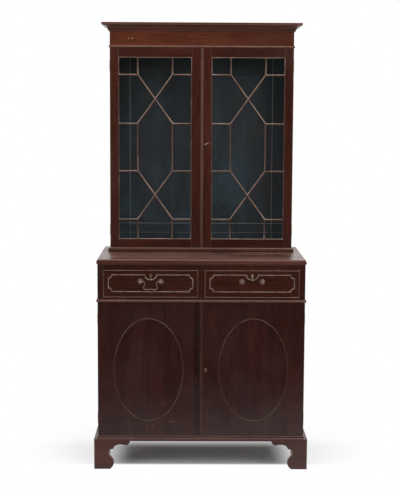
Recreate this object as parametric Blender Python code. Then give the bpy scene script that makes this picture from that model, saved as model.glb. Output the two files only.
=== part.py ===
"""Glazed bookcase in two parts: an upper case with two glazed doors on a cupboard base with two drawers.

Metres, +Z up, front towards -Y. The origin is on the floor, under the middle of the whole.
"""

import math

import bmesh
import bpy
from mathutils import Matrix, Vector

# Fits shared by all pieces
SEAT = 0.0003
BITE = 0.0006
OVERRUN = 0.006
SLIDE_PLAY = 0.0006
DOOR_PLAY = 0.0015
DOOR_JOINT = 0.001
MEETING_GAP = 0.0014
DRAWER_PLAY = 0.001

# Heights, from the floor up
FOOT_HEIGHT = 0.1415
PLINTH_HEIGHT = 0.0235
LOWER_DOOR_HEIGHT = 0.6635
WAIST_RAIL_HEIGHT = 0.0235
DRAWER_OPENING_HEIGHT = 0.136
TOP_RAIL_HEIGHT = 0.025
LOWER_TOP_THICKNESS = 0.026
UPPER_BASE_HEIGHT = 0.0215
UPPER_DOOR_HEIGHT = 1.0085
FRIEZE_HEIGHT = 0.082
CORNICE_HEIGHT = 0.043

# Widths and depths of the two cases
LOWER_WIDTH = 1.014
UPPER_WIDTH = 0.929
LOWER_DEPTH = 0.558
UPPER_DEPTH = 0.231
KEY_REACH = 0.034

# How far each moulding stands out from the case
PLINTH_PROUD = 0.019
FOOT_PROUD = 0.0185
WAIST_PROUD = 0.006
LIP_PROUD = 0.0055
UPPER_BASE_PROUD = 0.010
FRIEZE_BEAD_PROUD = 0.0045
CORNICE_PROUD = 0.039

# Boards of the lower case
LOWER_SIDE = 0.027
LOWER_BACK = 0.012
WAIST_BEAD_HEIGHT = 0.0135
RAIL_DEPTH = 0.050
DIVIDER_WIDTH = 0.031
DIVIDER_DEPTH = 0.022
DUSTBOARD = 0.012
HOUSING_DEPTH = 0.006

# Boards of the upper case
UPPER_SIDE = 0.020
UPPER_TOP = 0.018
UPPER_TOP_DROP = 0.022
BACK_FRAME = 0.016
BACK_PANEL = 0.007
BACK_STILE = 0.071
BACK_BOTTOM_RAIL = 0.105
BACK_TOP_RAIL = 0.240
BACK_MUNTIN = 0.080
FRIEZE_BEAD_HEIGHT = 0.013

# Bracket feet
BRACKET_LENGTH = 0.178
BRACKET_THICKNESS = 0.020
BLOCK_SIZE = 0.055
BLOCK_LIFT = 0.012
# Each row is the end of one curve along the bracket, then its control point, as length and height shares
BRACKET_START_share = 0.434
BRACKET_CURVE_shares = (
    ((0.549, 0.247), (0.541, 0.085)),
    ((0.467, 0.445), (0.543, 0.353)),
    ((0.400, 0.604), (0.403, 0.523)),
    ((0.439, 0.701), (0.397, 0.664)),
    ((0.532, 0.718), (0.486, 0.710)),
    ((0.723, 0.877), (0.563, 0.873)),
    ((0.884, 0.846), (0.805, 0.873)),
    ((1.000, 1.000), (0.957, 0.849)),
)

# Glazed doors
GLAZED_DOOR = 0.022
OUTER_STILE = 0.043
SIGHT_SPAN = 0.0996
UPPER_MEETING_OFFSET = 0.005
GLAZED_TOP_RAIL = 0.044
GLAZED_BOTTOM_RAIL = 0.0405
BAR_SETBACK = 0.0015
BAR_HALF_WIDTH = 0.0043
BAR_HALF_CREST = 0.0022
BAR_BEVEL_DEPTH = 0.003
BAR_DEPTH = 0.007
GLASS = 0.002
BAR_COLUMN_share = 0.262
BAR_ROW_shares = (0.096, 0.362, 0.623, 0.890)

# Cupboard doors
CUPBOARD_DOOR = 0.022
LOWER_MEETING_OFFSET = 0.0082
OVAL_WIDTH = 0.344
OVAL_HEIGHT = 0.514
OVAL_DROP = 0.003
OVAL_BEAD_WIDTH = 0.0042
OVAL_BEAD_DEPTH = 0.009
OVAL_BEAD_PROUD = 0.0016
OVAL_SINK = 0.0035
OVAL_PANEL = 0.0085

# Beads where the doors meet
MEETING_BEAD_WIDTH = 0.014
MEETING_BEAD_PROUD = 0.0045

# Drawers
DRAWER_FRONT = 0.020
DRAWER_SETBACK = 0.0015
DRAWER_SIDE = 0.010
DRAWER_BOTTOM = 0.006
DRAWER_BOTTOM_LIFT = 0.009
DRAWER_DEPTH = 0.480
DRAWER_SIDE_DROP = 0.002
COCK_BEAD_WIDTH = 0.0036
COCK_BEAD_DEPTH = 0.009
COCK_BEAD_PROUD = 0.0035
PANEL_SIDE_MARGIN = 0.0255
PANEL_TOP_MARGIN = 0.0235
PANEL_BOTTOM_MARGIN = 0.0285
PANEL_CORNER = 0.0175
PANEL_MOULDING_WIDTH = 0.0042
PANEL_MOULDING_PROUD = 0.0026
PANEL_DIP_WIDTH = 0.058
PANEL_DIP_DROP = 0.0245

# Handles
HANDLE_SPAN = 0.0995
HANDLE_LIFT = 0.0105
ROSE_RADIUS = 0.0145
ROSE_THICKNESS = 0.004
# Each pair is out from the drawer's face, and out from the middle of the rose
ROSE_shares = ((0.00, 1.00), (0.30, 1.00), (0.55, 0.86), (0.85, 0.50), (1.00, 0.29))
POST_RADIUS = 0.0042
POST_REACH = 0.018
POST_KNOB_RADIUS = 0.0062
BAIL_WIRE = 0.0022
BAIL_PIN = 0.0015
BAIL_PIN_LENGTH = 0.0045
BAIL_PLAY = 0.0004
BAIL_DROP = 0.0385
# Each pair is a point of the bail's right half: out from the middle, and down from its axis
BAIL_shares = (
    (0.72, -0.05),
    (0.61, 0.08),
    (0.56, 0.28),
    (0.62, 0.50),
    (0.69, 0.70),
    (0.60, 0.92),
    (0.38, 1.00),
    (0.00, 0.93),
)

# Butt hinges
HINGE_HEIGHT = 0.054
HINGE_LEAF_WIDTH = 0.016
HINGE_LEAF = 0.0012
HINGE_KNUCKLE = 0.0028
HINGE_BORE = 0.0013
HINGE_PIN = 0.0009
HINGE_PLAY = 0.0004
LOWER_HINGE_INSET = 0.057
UPPER_HINGE_INSET = 0.060

# Locks, their bolts and keys
LOCK_LENGTH = 0.050
LOCK_WIDTH = 0.040
LOCK_THICKNESS = 0.011
LOCK_TOP_DROP = 0.003
BOLT_WIDTH = 0.014
BOLT_THICKNESS = 0.004
BOLT_LENGTH = 0.012
BOLT_THROW = 0.010
KEYHOLE_RADIUS = 0.0026
KEYHOLE_SLOT = 0.0024
KEYHOLE_DROP = 0.0085
ESCUTCHEON_RIM = 0.0012
KEY_PIVOT_DROP = 0.024
KEY_SHANK = 0.0021
KEY_BOW_LENGTH = 0.027
KEY_BOW_WIDTH = 0.020
KEY_BOW_SECTION = 0.0028
KEY_COLLAR = 0.0035
KEY_BIT_LENGTH = 0.0050
KEY_BIT_HEIGHT = 0.0042
KEY_BIT_THICKNESS = 0.0016
UPPER_KEY_TILT = math.radians(20)
DRAWER_KEY_TILT = math.radians(90)
UPPER_KEYHOLE_HEIGHT = 0.5295
UPPER_KEYHOLE_INSET = 0.028
LOWER_KEYHOLE_HEIGHT = 0.332
LOWER_KEYHOLE_INSET = 0.0295

# Levels that follow from the heights
PLINTH_TOP = FOOT_HEIGHT + PLINTH_HEIGHT
LOWER_DOOR_LOW = PLINTH_TOP + DOOR_PLAY
LOWER_DOOR_HIGH = LOWER_DOOR_LOW + LOWER_DOOR_HEIGHT
WAIST_LOW = LOWER_DOOR_HIGH + DOOR_PLAY
DRAWER_LOW = WAIST_LOW + WAIST_RAIL_HEIGHT
DRAWER_HIGH = DRAWER_LOW + DRAWER_OPENING_HEIGHT
LOWER_CASE_TOP = DRAWER_HIGH + TOP_RAIL_HEIGHT
LOWER_TOP_SURFACE = LOWER_CASE_TOP + LOWER_TOP_THICKNESS
UPPER_BASE_TOP = LOWER_TOP_SURFACE + UPPER_BASE_HEIGHT
UPPER_DOOR_LOW = UPPER_BASE_TOP + DOOR_PLAY
UPPER_DOOR_HIGH = UPPER_DOOR_LOW + UPPER_DOOR_HEIGHT
FRIEZE_LOW = UPPER_DOOR_HIGH + DOOR_PLAY
CORNICE_LOW = FRIEZE_LOW + FRIEZE_HEIGHT
TOTAL_HEIGHT = CORNICE_LOW + CORNICE_HEIGHT
UPPER_CASE_TOP = TOTAL_HEIGHT - UPPER_TOP_DROP

# Planes that follow from the widths and depths
LOWER_HALF = LOWER_WIDTH / 2
UPPER_HALF = UPPER_WIDTH / 2
FACE = -(LOWER_DEPTH - KEY_REACH) / 2
BACK = FACE + LOWER_DEPTH
UPPER_FACE = BACK - UPPER_DEPTH
LOWER_FRONT_EDGE = FACE + CUPBOARD_DOOR + DOOR_JOINT
UPPER_FRONT_EDGE = UPPER_FACE + GLAZED_DOOR + DOOR_JOINT
LOWER_INNER = LOWER_HALF - LOWER_SIDE
UPPER_INNER = UPPER_HALF - UPPER_SIDE

# Colours, roughness and metal value of each finish
MAHOGANY = ((0.075, 0.022, 0.015), 0.38, 0.0)
MAHOGANY_DARK = ((0.040, 0.014, 0.011), 0.42, 0.0)
MAHOGANY_RED = ((0.120, 0.038, 0.020), 0.40, 0.0)
PINE = ((0.300, 0.190, 0.100), 0.75, 0.0)
PAINT = ((0.020, 0.036, 0.046), 0.70, 0.0)
CLEAR = ((0.800, 0.850, 0.850), 0.05, 0.0)
BRASS = ((0.420, 0.300, 0.160), 0.35, 1.0)
STEEL = ((0.300, 0.290, 0.280), 0.40, 1.0)

# World places of the joints' empties
axis_places = {}

CIRCLE_STEPS = 14
OVAL_STEPS = 48
WIRE_SIDES = 6
ARC_STEPS = 4


def clear_scene():
    for obj in list(bpy.data.objects):
        bpy.data.objects.remove(obj, do_unlink=True)


def finish_material(name, finish):
    found = bpy.data.materials.get(name)
    if found:
        return found
    colour, roughness, metallic = finish
    made = bpy.data.materials.new(name)
    made.use_nodes = True
    shader = made.node_tree.nodes["Principled BSDF"]
    shader.inputs["Base Color"].default_value = (*colour, 1.0)
    shader.inputs["Roughness"].default_value = roughness
    shader.inputs["Metallic"].default_value = metallic
    if finish is CLEAR:
        shader.inputs["Transmission Weight"].default_value = 1.0
    return made


def joint_axis(name, place, carrier=None):
    """An empty on a joint's axis, which the moving pieces hang from."""
    empty = bpy.data.objects.new(name, None)
    bpy.context.scene.collection.objects.link(empty)
    empty.parent = carrier
    axis_places[name] = Vector(place)
    empty.location = axis_places[name]
    if carrier:
        empty.location -= axis_places[carrier.name]
    return empty


def piece(name, shape, finish, carrier=None, smooth=False):
    """Makes the object of a shape given in world places, with its origin on its carrier's axis."""
    origin = axis_places[carrier.name] if carrier else centre_of(shape)
    shape.transform(Matrix.Translation(-origin))
    bmesh.ops.recalc_face_normals(shape, faces=shape.faces)
    mesh = bpy.data.meshes.new(name)
    shape.to_mesh(mesh)
    shape.free()
    mesh.materials.append(finish_material(name + "_finish", finish))
    if smooth:
        mesh.shade_smooth()
        mesh.set_sharp_from_angle(angle=math.radians(35))
    obj = bpy.data.objects.new(name, mesh)
    bpy.context.scene.collection.objects.link(obj)
    obj.parent = carrier
    if not carrier:
        obj.location = origin
    return obj


def centre_of(shape):
    spans = list(zip(*(vert.co for vert in shape.verts)))
    return Vector([(min(span) + max(span)) / 2 for span in spans])


def combine(target, name, shape, operation):
    """Adds a live Boolean whose hidden tool has the given shape, in world places."""
    origin = axis_places[target.parent.name] if target.parent else target.location.copy()
    shape.transform(Matrix.Translation(-origin))
    bmesh.ops.recalc_face_normals(shape, faces=shape.faces)
    mesh = bpy.data.meshes.new(name)
    shape.to_mesh(mesh)
    shape.free()
    tool = bpy.data.objects.new(name, mesh)
    bpy.context.scene.collection.objects.link(tool)
    tool.parent = target.parent
    if not target.parent:
        tool.location = origin
    tool.hide_render = True
    tool.display_type = "WIRE"
    modifier = target.modifiers.new(name, "BOOLEAN")
    modifier.operation = operation
    modifier.solver = "EXACT"
    modifier.object = tool


def cut(target, name, shape):
    combine(target, target.name + "_" + name, shape, "DIFFERENCE")


def join(target, name, shape):
    combine(target, target.name + "_" + name, shape, "UNION")


# Shapes, all in world places


def add_loft(shape, rings):
    """Joins closed rings of points in order and caps the first and the last."""
    made = [[shape.verts.new(point) for point in ring] for ring in rings]
    for near, far in zip(made, made[1:]):
        for index, vert in enumerate(near):
            after = (index + 1) % len(near)
            shape.faces.new((vert, near[after], far[after], far[index]))
    shape.faces.new(made[0])
    shape.faces.new(made[-1])


def add_box(shape, low, high):
    corners = ((low[0], low[1]), (high[0], low[1]), (high[0], high[1]), (low[0], high[1]))
    add_loft(shape, [[(x, y, z) for x, y in corners] for z in (low[2], high[2])])


def boxes(*spans):
    shape = bmesh.new()
    for low, high in spans:
        add_box(shape, low, high)
    return shape


def add_slab(shape, outline, near, far):
    """An outline in X and Z, made solid between two depths."""
    add_loft(shape, [[(x, y, z) for x, z in outline] for y in (near, far)])


def slab(outline, near, far):
    shape = bmesh.new()
    add_slab(shape, outline, near, far)
    return shape


def circle(centre, radius, steps=CIRCLE_STEPS):
    return ellipse(centre, radius, radius, steps)


def ellipse(centre, half_wide, half_high, steps=OVAL_STEPS):
    turns = [2 * math.pi * index / steps for index in range(steps)]
    return [
        (centre[0] + half_wide * math.cos(turn), centre[1] + half_high * math.sin(turn))
        for turn in turns
    ]


def add_upright_rod(shape, centre, radius, low, high, steps=CIRCLE_STEPS):
    add_loft(shape, [[(x, y, z) for x, y in circle(centre, radius, steps)] for z in (low, high)])


def add_turned(shape, centre, profile, steps=CIRCLE_STEPS):
    """Rings about a line along Y, from (depth, radius) pairs."""
    rings = []
    for depth, radius in profile:
        rings.append([(x, depth, z) for x, z in circle(centre, radius, steps)])
    add_loft(shape, rings)


def add_closed_moulding(shape, path, profile):
    """Runs a closed profile of (across, depth) round a closed path in X and Z, with mitred corners.

    The path runs anticlockwise seen from the front, and across is measured outwards from it.
    """
    rings = []
    count = len(path)
    for index in range(count):
        before = Vector(path[index]) - Vector(path[index - 1])
        after = Vector(path[(index + 1) % count]) - Vector(path[index])
        before.normalize()
        after.normalize()
        normal_before = Vector((before.y, -before.x))
        normal_after = Vector((after.y, -after.x))
        mitre = (normal_before + normal_after) / (1 + normal_before.dot(normal_after))
        ring = []
        for across, depth in profile:
            place = Vector(path[index]) + mitre * across
            ring.append((place.x, depth, place.y))
        rings.append(ring)
    made = [[shape.verts.new(point) for point in ring] for ring in rings]
    for index, near in enumerate(made):
        far = made[(index + 1) % count]
        for side, vert in enumerate(near):
            after = (side + 1) % len(near)
            shape.faces.new((vert, near[after], far[after], far[side]))


def three_sided(profile, half, face, back, front_bite=0.0):
    """A moulding mitred round the front and both sides, from (proud, height) pairs.

    front_bite lets the front run's flat back into the board behind it.
    """
    shape = bmesh.new()
    stations = ((-1, back, 0), (-1, face, -1), (1, face, -1), (1, back, 0))
    innermost = min(proud for proud, _ in profile)
    rings = []
    for side, depth, forward in stations:
        ring = []
        for proud, z in profile:
            sunk = innermost + front_bite if proud == innermost else 0.0
            ring.append((side * (half + proud), depth + forward * (proud - sunk), z))
        rings.append(ring)
    add_loft(shape, rings)
    return shape


def moulded_board(name, profile, half, face, finish):
    """A board with its front and side edges shaped by (proud, height) pairs, from the bottom up."""
    rings = []
    for proud, z in profile:
        right, front = half + proud, face - proud
        rings.append([(-right, front, z), (right, front, z), (right, BACK, z), (-right, BACK, z)])
    shape = bmesh.new()
    add_loft(shape, rings)
    return piece(name, shape, finish, smooth=True)


def arc(centre, radii, start, end, steps=ARC_STEPS):
    """Points on an elliptical arc, from one angle to another in degrees."""
    points = []
    for index in range(steps + 1):
        turn = math.radians(start + (end - start) * index / steps)
        points.append((centre[0] + radii[0] * math.cos(turn), centre[1] + radii[1] * math.sin(turn)))
    return points


def half_round(width, proud, face, back):
    """A strip's section as (across, depth): flat behind, rounded in front of the face."""
    front = [(across, face - rise) for across, rise in arc((0, 0), (width / 2, proud), 0, 180)]
    return [(width / 2, back), *front, (-width / 2, back)]


def inset_outline(outline, distance):
    """Moves every edge of a convex anticlockwise outline inwards."""
    moved = []
    count = len(outline)
    for index in range(count):
        here = Vector(outline[index])
        before = (here - Vector(outline[index - 1])).normalized()
        after = (Vector(outline[(index + 1) % count]) - here).normalized()
        normal_before = Vector((-before.y, before.x))
        normal_after = Vector((-after.y, after.x))
        mitre = (normal_before + normal_after) / (1 + normal_before.dot(normal_after))
        moved.append(tuple(here + mitre * distance))
    return moved


def keyhole(centre, growth):
    """A round hole with a slot below it, anticlockwise from the slot's right foot."""
    radius = KEYHOLE_RADIUS + growth
    half_slot = KEYHOLE_SLOT / 2 + growth
    foot = centre[1] - KEYHOLE_DROP - growth
    neck = math.degrees(math.acos(half_slot / radius))
    round_part = arc(centre, (radius, radius), -neck, 180 + neck, 10)
    return [(centre[0] - half_slot, foot), (centre[0] + half_slot, foot), *round_part]


# Hinges


def hinge_heights(low, high, inset):
    return (low + inset, high - inset - HINGE_HEIGHT)


def knuckle_span(low, part):
    """The span of one of the three knuckles, counted from the bottom."""
    third = HINGE_HEIGHT / 3
    return low + part * third + SEAT / 2, low + (part + 1) * third - SEAT / 2


def hinge_plate(axis, side, near, far, low):
    """The flat of a leaf, from its inner edge to the room round the knuckles."""
    edges = sorted((axis[0] - side * HINGE_LEAF_WIDTH, axis[0] - side * (HINGE_KNUCKLE + HINGE_PLAY)))
    return (edges[0], near, low + SEAT), (edges[1], far, low + HINGE_HEIGHT - SEAT)


def add_knuckle(shape, axis, side, leaf_near, low, part):
    """A round knuckle with the tongue that ties it to its leaf, as one prism."""
    leaf_far = leaf_near + HINGE_LEAF
    start = math.degrees(math.asin(leaf_far / HINGE_KNUCKLE))
    end = math.degrees(math.asin(leaf_near / HINGE_KNUCKLE)) + 360
    tongue = HINGE_KNUCKLE + HINGE_PLAY + BITE
    outline = arc((0, 0), (HINGE_KNUCKLE, HINGE_KNUCKLE), start, end, 12)
    outline += [(tongue, leaf_near), (tongue, leaf_far)]
    bottom, top = knuckle_span(low, part)
    rings = []
    for z in (bottom, top):
        rings.append([(axis[0] - side * inward, axis[1] + depth, z) for inward, depth in outline])
    add_loft(shape, rings)


def case_hinge(name, axis, side, low):
    """The leaf on the case, with its middle knuckle and the pin."""
    near = DOOR_JOINT / 2
    plate = boxes(hinge_plate(axis, side, axis[1] + near, axis[1] + near + HINGE_LEAF, low))
    leaf = piece(name, plate, BRASS, smooth=True)
    knuckle, pin = bmesh.new(), bmesh.new()
    add_knuckle(knuckle, axis, side, near, low, 1)
    join(leaf, "knuckle", knuckle)
    add_upright_rod(pin, axis, HINGE_PIN, low, low + HINGE_HEIGHT, 8)
    join(leaf, "pin", pin)


def join_door_hinges(target, hinges):
    """The door's own leaves, with an upper and a lower knuckle bored for the pin."""
    knuckles, leaves, bores = bmesh.new(), bmesh.new(), bmesh.new()
    near = -DOOR_JOINT / 2 - HINGE_LEAF
    for axis, side, low in hinges:
        for part in (0, 2):
            add_knuckle(knuckles, axis, side, near, low, part)
        back = axis[1] - DOOR_JOINT / 2
        add_box(leaves, *hinge_plate(axis, side, back - BITE, back + SEAT, low))
        add_upright_rod(bores, axis, HINGE_BORE, low - OVERRUN, low + HINGE_HEIGHT + OVERRUN, 12)
    cut(target, "knuckle_recesses", knuckle_room(hinges))
    join(target, "leaves", leaves)
    join(target, "knuckles", knuckles)
    cut(target, "pin_bores", bores)


def knuckle_room(hinges):
    shape = bmesh.new()
    for axis, _, low in hinges:
        bottom, top = low - SEAT, low + HINGE_HEIGHT + SEAT
        add_upright_rod(shape, axis, HINGE_KNUCKLE + HINGE_PLAY, bottom, top, 16)
    return shape


def cut_case_hinges(target, hinges):
    leaves = bmesh.new()
    for axis, side, low in hinges:
        inner = axis[0] - side * (HINGE_LEAF_WIDTH + SEAT)
        outer = axis[0] + side * OVERRUN
        left, right = sorted((inner, outer))
        far = axis[1] + DOOR_JOINT / 2 + HINGE_LEAF + SEAT
        add_box(leaves, (left, axis[1], low), (right, far, low + HINGE_HEIGHT))
    cut(target, "leaf_recesses", leaves)
    cut(target, "knuckle_recesses", knuckle_room(hinges))


# Lower case


def lower_side(name, side, hinges):
    outline = (
        (BACK, PLINTH_TOP + SEAT),
        (LOWER_FRONT_EDGE, PLINTH_TOP + SEAT),
        (LOWER_FRONT_EDGE, WAIST_LOW),
        (FACE, WAIST_LOW),
        (FACE, LOWER_CASE_TOP),
        (BACK, LOWER_CASE_TOP),
    )
    shape = bmesh.new()
    add_loft(shape, [[(side * x, y, z) for y, z in outline] for x in (LOWER_INNER, LOWER_HALF)])
    board = piece(name, shape, MAHOGANY_DARK)
    groove = side * (LOWER_INNER + HOUSING_DEPTH + SEAT)
    left, right = sorted((groove, side * (LOWER_INNER - OVERRUN)))
    housing = (
        (left, FACE + RAIL_DEPTH, DRAWER_LOW - DUSTBOARD - SEAT),
        (right, BACK - LOWER_BACK, DRAWER_LOW + SEAT),
    )
    cut(board, "housing", boxes(housing))
    cut_case_hinges(board, hinges)


def lower_boards():
    """The base with its moulded edge, the back, and the dustboard with its partition."""
    fascia_share, cove_share, ovolo_share = 0.40, 0.72, 0.28
    low = FOOT_HEIGHT + SEAT
    fascia = low + PLINTH_HEIGHT * fascia_share
    cove_top = low + PLINTH_HEIGHT * cove_share
    shoulder = PLINTH_PROUD * ovolo_share
    cove = arc((PLINTH_PROUD, cove_top), (PLINTH_PROUD - shoulder, cove_top - fascia), 270, 180, 4)
    round_top = arc((0, cove_top), (shoulder, PLINTH_TOP - cove_top), 0, 90, 3)
    edge = [(PLINTH_PROUD, low), *cove, *round_top[1:]]
    moulded_board("lower_base", edge, LOWER_HALF, FACE, MAHOGANY)
    back_near = BACK - LOWER_BACK
    half = LOWER_INNER - SEAT
    back = ((-half, back_near, PLINTH_TOP + SEAT), (half, BACK, LOWER_CASE_TOP))
    piece("lower_back", boxes(back), PINE)
    housed = LOWER_INNER + HOUSING_DEPTH
    dustboard = (
        (-housed, FACE + RAIL_DEPTH + SEAT, DRAWER_LOW - DUSTBOARD),
        (housed, back_near - SEAT, DRAWER_LOW),
    )
    partition = (
        (-DIVIDER_WIDTH / 2, FACE + RAIL_DEPTH + SEAT, DRAWER_LOW - BITE),
        (DIVIDER_WIDTH / 2, back_near - SEAT, LOWER_CASE_TOP),
    )
    board = piece("dustboard", boxes(dustboard), PINE)
    join(board, "partition", boxes(partition))


def drawer_rails(bolt_sockets):
    """Top rail and waist rail, tied by the upright between the drawers."""
    half = LOWER_INNER - SEAT
    rails = boxes(
        ((-half, FACE, DRAWER_HIGH), (half, FACE + RAIL_DEPTH, LOWER_CASE_TOP)),
        ((-half, FACE, WAIST_LOW), (half, FACE + RAIL_DEPTH, DRAWER_LOW)),
    )
    upright = (
        (-DIVIDER_WIDTH / 2, FACE, DRAWER_LOW - BITE),
        (DIVIDER_WIDTH / 2, FACE + DIVIDER_DEPTH, DRAWER_HIGH + BITE),
    )
    frame = piece("drawer_rails", rails, MAHOGANY_DARK)
    join(frame, "upright", boxes(upright))
    cut(frame, "bolt_sockets", boxes(*bolt_sockets))


def lower_top():
    """The moulded top: a rounded upper edge over a lip, and a hollow under it."""
    lip_low_share, lip_high_share, surface_back_share, inset_share = 0.22, 0.42, 1.75, 0.2
    low, high = LOWER_CASE_TOP + SEAT, LOWER_TOP_SURFACE
    lip_low = low + LOWER_TOP_THICKNESS * lip_low_share
    lip_high = low + LOWER_TOP_THICKNESS * lip_high_share
    round_depth = LIP_PROUD * surface_back_share
    hollow = arc((LIP_PROUD, low), (LIP_PROUD, lip_low - low), 180, 90, 3)
    radii = (round_depth - LIP_PROUD * inset_share, high - lip_high)
    ovolo = arc((LIP_PROUD - round_depth, lip_high), radii, 0, 90, 4)
    edge = [*hollow, (LIP_PROUD, lip_high), *ovolo]
    moulded_board("lower_top", edge, LOWER_HALF, FACE, MAHOGANY)


def waist_bead():
    fillet_share = 0.33
    low = WAIST_LOW + SEAT
    high = low + WAIST_BEAD_HEIGHT
    fillet = WAIST_PROUD * fillet_share
    radii = (WAIST_PROUD - fillet, WAIST_BEAD_HEIGHT / 2)
    nose = arc((fillet, (low + high) / 2), radii, -90, 90, 6)
    bead = [(SEAT, low), *nose, (SEAT, high)]
    piece("waist_bead", three_sided(bead, LOWER_HALF, FACE, BACK), MAHOGANY, smooth=True)


def bracket_outline():
    """Length along the case and height of a bracket's outline, from its corner."""
    along = BRACKET_LENGTH
    up = FOOT_HEIGHT
    points = [(0, 0), (BRACKET_START_share * along, 0)]
    here = points[-1]
    for end_shares, control_shares in BRACKET_CURVE_shares:
        end = (end_shares[0] * along, end_shares[1] * up)
        control = (control_shares[0] * along, control_shares[1] * up)
        for step in range(1, ARC_STEPS):
            t = step / (ARC_STEPS - 1)
            a, b, c = (1 - t) ** 2, 2 * t * (1 - t), t**2
            points.append(
                tuple(a * here[i] + b * control[i] + c * end[i] for i in range(2))
            )
        here = end
    return [*points, (0, up)]


def add_bracket(shape, corner, along, inward, lap):
    """One bracket board: along and inward are unit steps from the outer corner, in X and Y."""
    rings = []
    for depth in (0, BRACKET_THICKNESS):
        ring = []
        for length, z in bracket_outline():
            start = max(length, lap)
            x = corner[0] + along[0] * start + inward[0] * depth
            y = corner[1] + along[1] * start + inward[1] * depth
            ring.append((x, y, z))
        rings.append(ring)
    add_loft(shape, rings)


def foot(name, corner, sideways, forward):
    """Two brackets that meet at the corner, with the block glued inside them."""
    front, flank = bmesh.new(), bmesh.new()
    add_bracket(front, corner, (sideways, 0), (0, forward), 0)
    add_bracket(flank, corner, (0, forward), (sideways, 0), BRACKET_THICKNESS / 2)
    made = piece(name, front, MAHOGANY)
    join(made, "flank", flank)
    near = BRACKET_THICKNESS - BITE
    far = near + BLOCK_SIZE
    left, right = sorted((corner[0] + sideways * near, corner[0] + sideways * far))
    low_y, high_y = sorted((corner[1] + forward * near, corner[1] + forward * far))
    join(made, "block", boxes(((left, low_y, BLOCK_LIFT), (right, high_y, FOOT_HEIGHT - BITE))))


def feet():
    outer = LOWER_HALF + FOOT_PROUD
    front = FACE - FOOT_PROUD
    foot("front_left_foot", (-outer, front), 1, 1)
    foot("front_right_foot", (outer, front), -1, 1)
    foot("rear_left_foot", (-outer, BACK), 1, -1)
    foot("rear_right_foot", (outer, BACK), -1, -1)


# Upper case


def upper_side(name, side, hinges):
    left, right = sorted((side * UPPER_INNER, side * UPPER_HALF))
    span = ((left, UPPER_FRONT_EDGE, UPPER_BASE_TOP + SEAT), (right, BACK, UPPER_CASE_TOP))
    board = piece(name, boxes(span), MAHOGANY_DARK)
    cut_case_hinges(board, hinges)


def upper_boards():
    fascia_share, fillet_share = 0.45, 0.3
    low = LOWER_TOP_SURFACE + SEAT
    fascia = low + UPPER_BASE_HEIGHT * fascia_share
    fillet = UPPER_BASE_PROUD * fillet_share
    radii = (UPPER_BASE_PROUD - fillet, UPPER_BASE_TOP - fascia)
    edge = [(UPPER_BASE_PROUD, low), *arc((fillet, fascia), radii, 0, 90, 4)]
    moulded_board("upper_base", edge, UPPER_HALF, UPPER_FACE, MAHOGANY)
    inner = UPPER_INNER - SEAT
    back_near = BACK - BACK_FRAME
    top = (
        (-inner, UPPER_FRONT_EDGE, UPPER_CASE_TOP - UPPER_TOP),
        (inner, back_near - SEAT, UPPER_CASE_TOP),
    )
    piece("upper_top", boxes(top), PINE)
    upper_back(inner, back_near)


def upper_back(inner, back_near):
    """A framed back with two sunk panels."""
    low, high = UPPER_BASE_TOP + SEAT, UPPER_CASE_TOP
    frame = piece("upper_back", boxes(((-inner, back_near, low), (inner, BACK, high))), PAINT)
    sink = (BACK_FRAME - BACK_PANEL) / 2
    recesses = []
    for side in (-1, 1):
        left, right = sorted((side * BACK_MUNTIN / 2, side * (inner - BACK_STILE)))
        for near, far in ((back_near - OVERRUN, back_near + sink), (BACK - sink, BACK + OVERRUN)):
            recesses.append(
                ((left, near, low + BACK_BOTTOM_RAIL), (right, far, high - BACK_TOP_RAIL))
            )
    cut(frame, "panels", boxes(*recesses))


def frieze():
    """The frieze board with the bead planted on its lower edge."""
    span = (
        (-UPPER_HALF, UPPER_FACE, FRIEZE_LOW),
        (UPPER_HALF, UPPER_FRONT_EDGE - SEAT, UPPER_CASE_TOP),
    )
    board = piece("frieze", boxes(span), MAHOGANY_RED, smooth=True)
    middle = FRIEZE_LOW + SEAT + FRIEZE_BEAD_HEIGHT / 2
    radii = (FRIEZE_BEAD_PROUD, FRIEZE_BEAD_HEIGHT / 2)
    nose = arc((SEAT, middle), radii, -90, 90, 6)
    nose[0], nose[-1] = (SEAT, nose[0][1]), (SEAT, nose[-1][1])
    join(board, "bead", three_sided(nose, UPPER_HALF, UPPER_FACE, BACK, BITE))


def cornice():
    """Bed bead, fillet, hollow and top fascia, from the frieze outwards."""
    bead_high_share, bead_out_share = 0.20, 0.20
    hollow_low_share, hollow_high_share = 0.26, 0.66
    hollow_in_share, hollow_out_share = 0.26, 0.80
    fascia_low_share, fascia_step_share = 0.74, 0.90
    low, tall, out = CORNICE_LOW, CORNICE_HEIGHT, CORNICE_PROUD
    bead = arc(
        (SEAT, low + tall * bead_high_share / 2),
        (out * bead_out_share, tall * bead_high_share / 2),
        -90,
        60,
        4,
    )
    hollow_low, hollow_high = low + tall * hollow_low_share, low + tall * hollow_high_share
    hollow_in, hollow_out = out * hollow_in_share, out * hollow_out_share
    hollow = arc(
        (hollow_out, hollow_low), (hollow_out - hollow_in, hollow_high - hollow_low), 180, 90, 6
    )
    fascia_low = low + tall * fascia_low_share
    profile = [
        *bead,
        (hollow_in, low + tall * bead_high_share),
        *hollow,
        (out * fascia_step_share, hollow_high),
        (out * fascia_step_share, fascia_low),
        (out, fascia_low),
        (out, TOTAL_HEIGHT),
        (SEAT, TOTAL_HEIGHT),
    ]
    piece("cornice", three_sided(profile, UPPER_HALF, UPPER_FACE, BACK), MAHOGANY, smooth=True)


# Glazed doors


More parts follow.
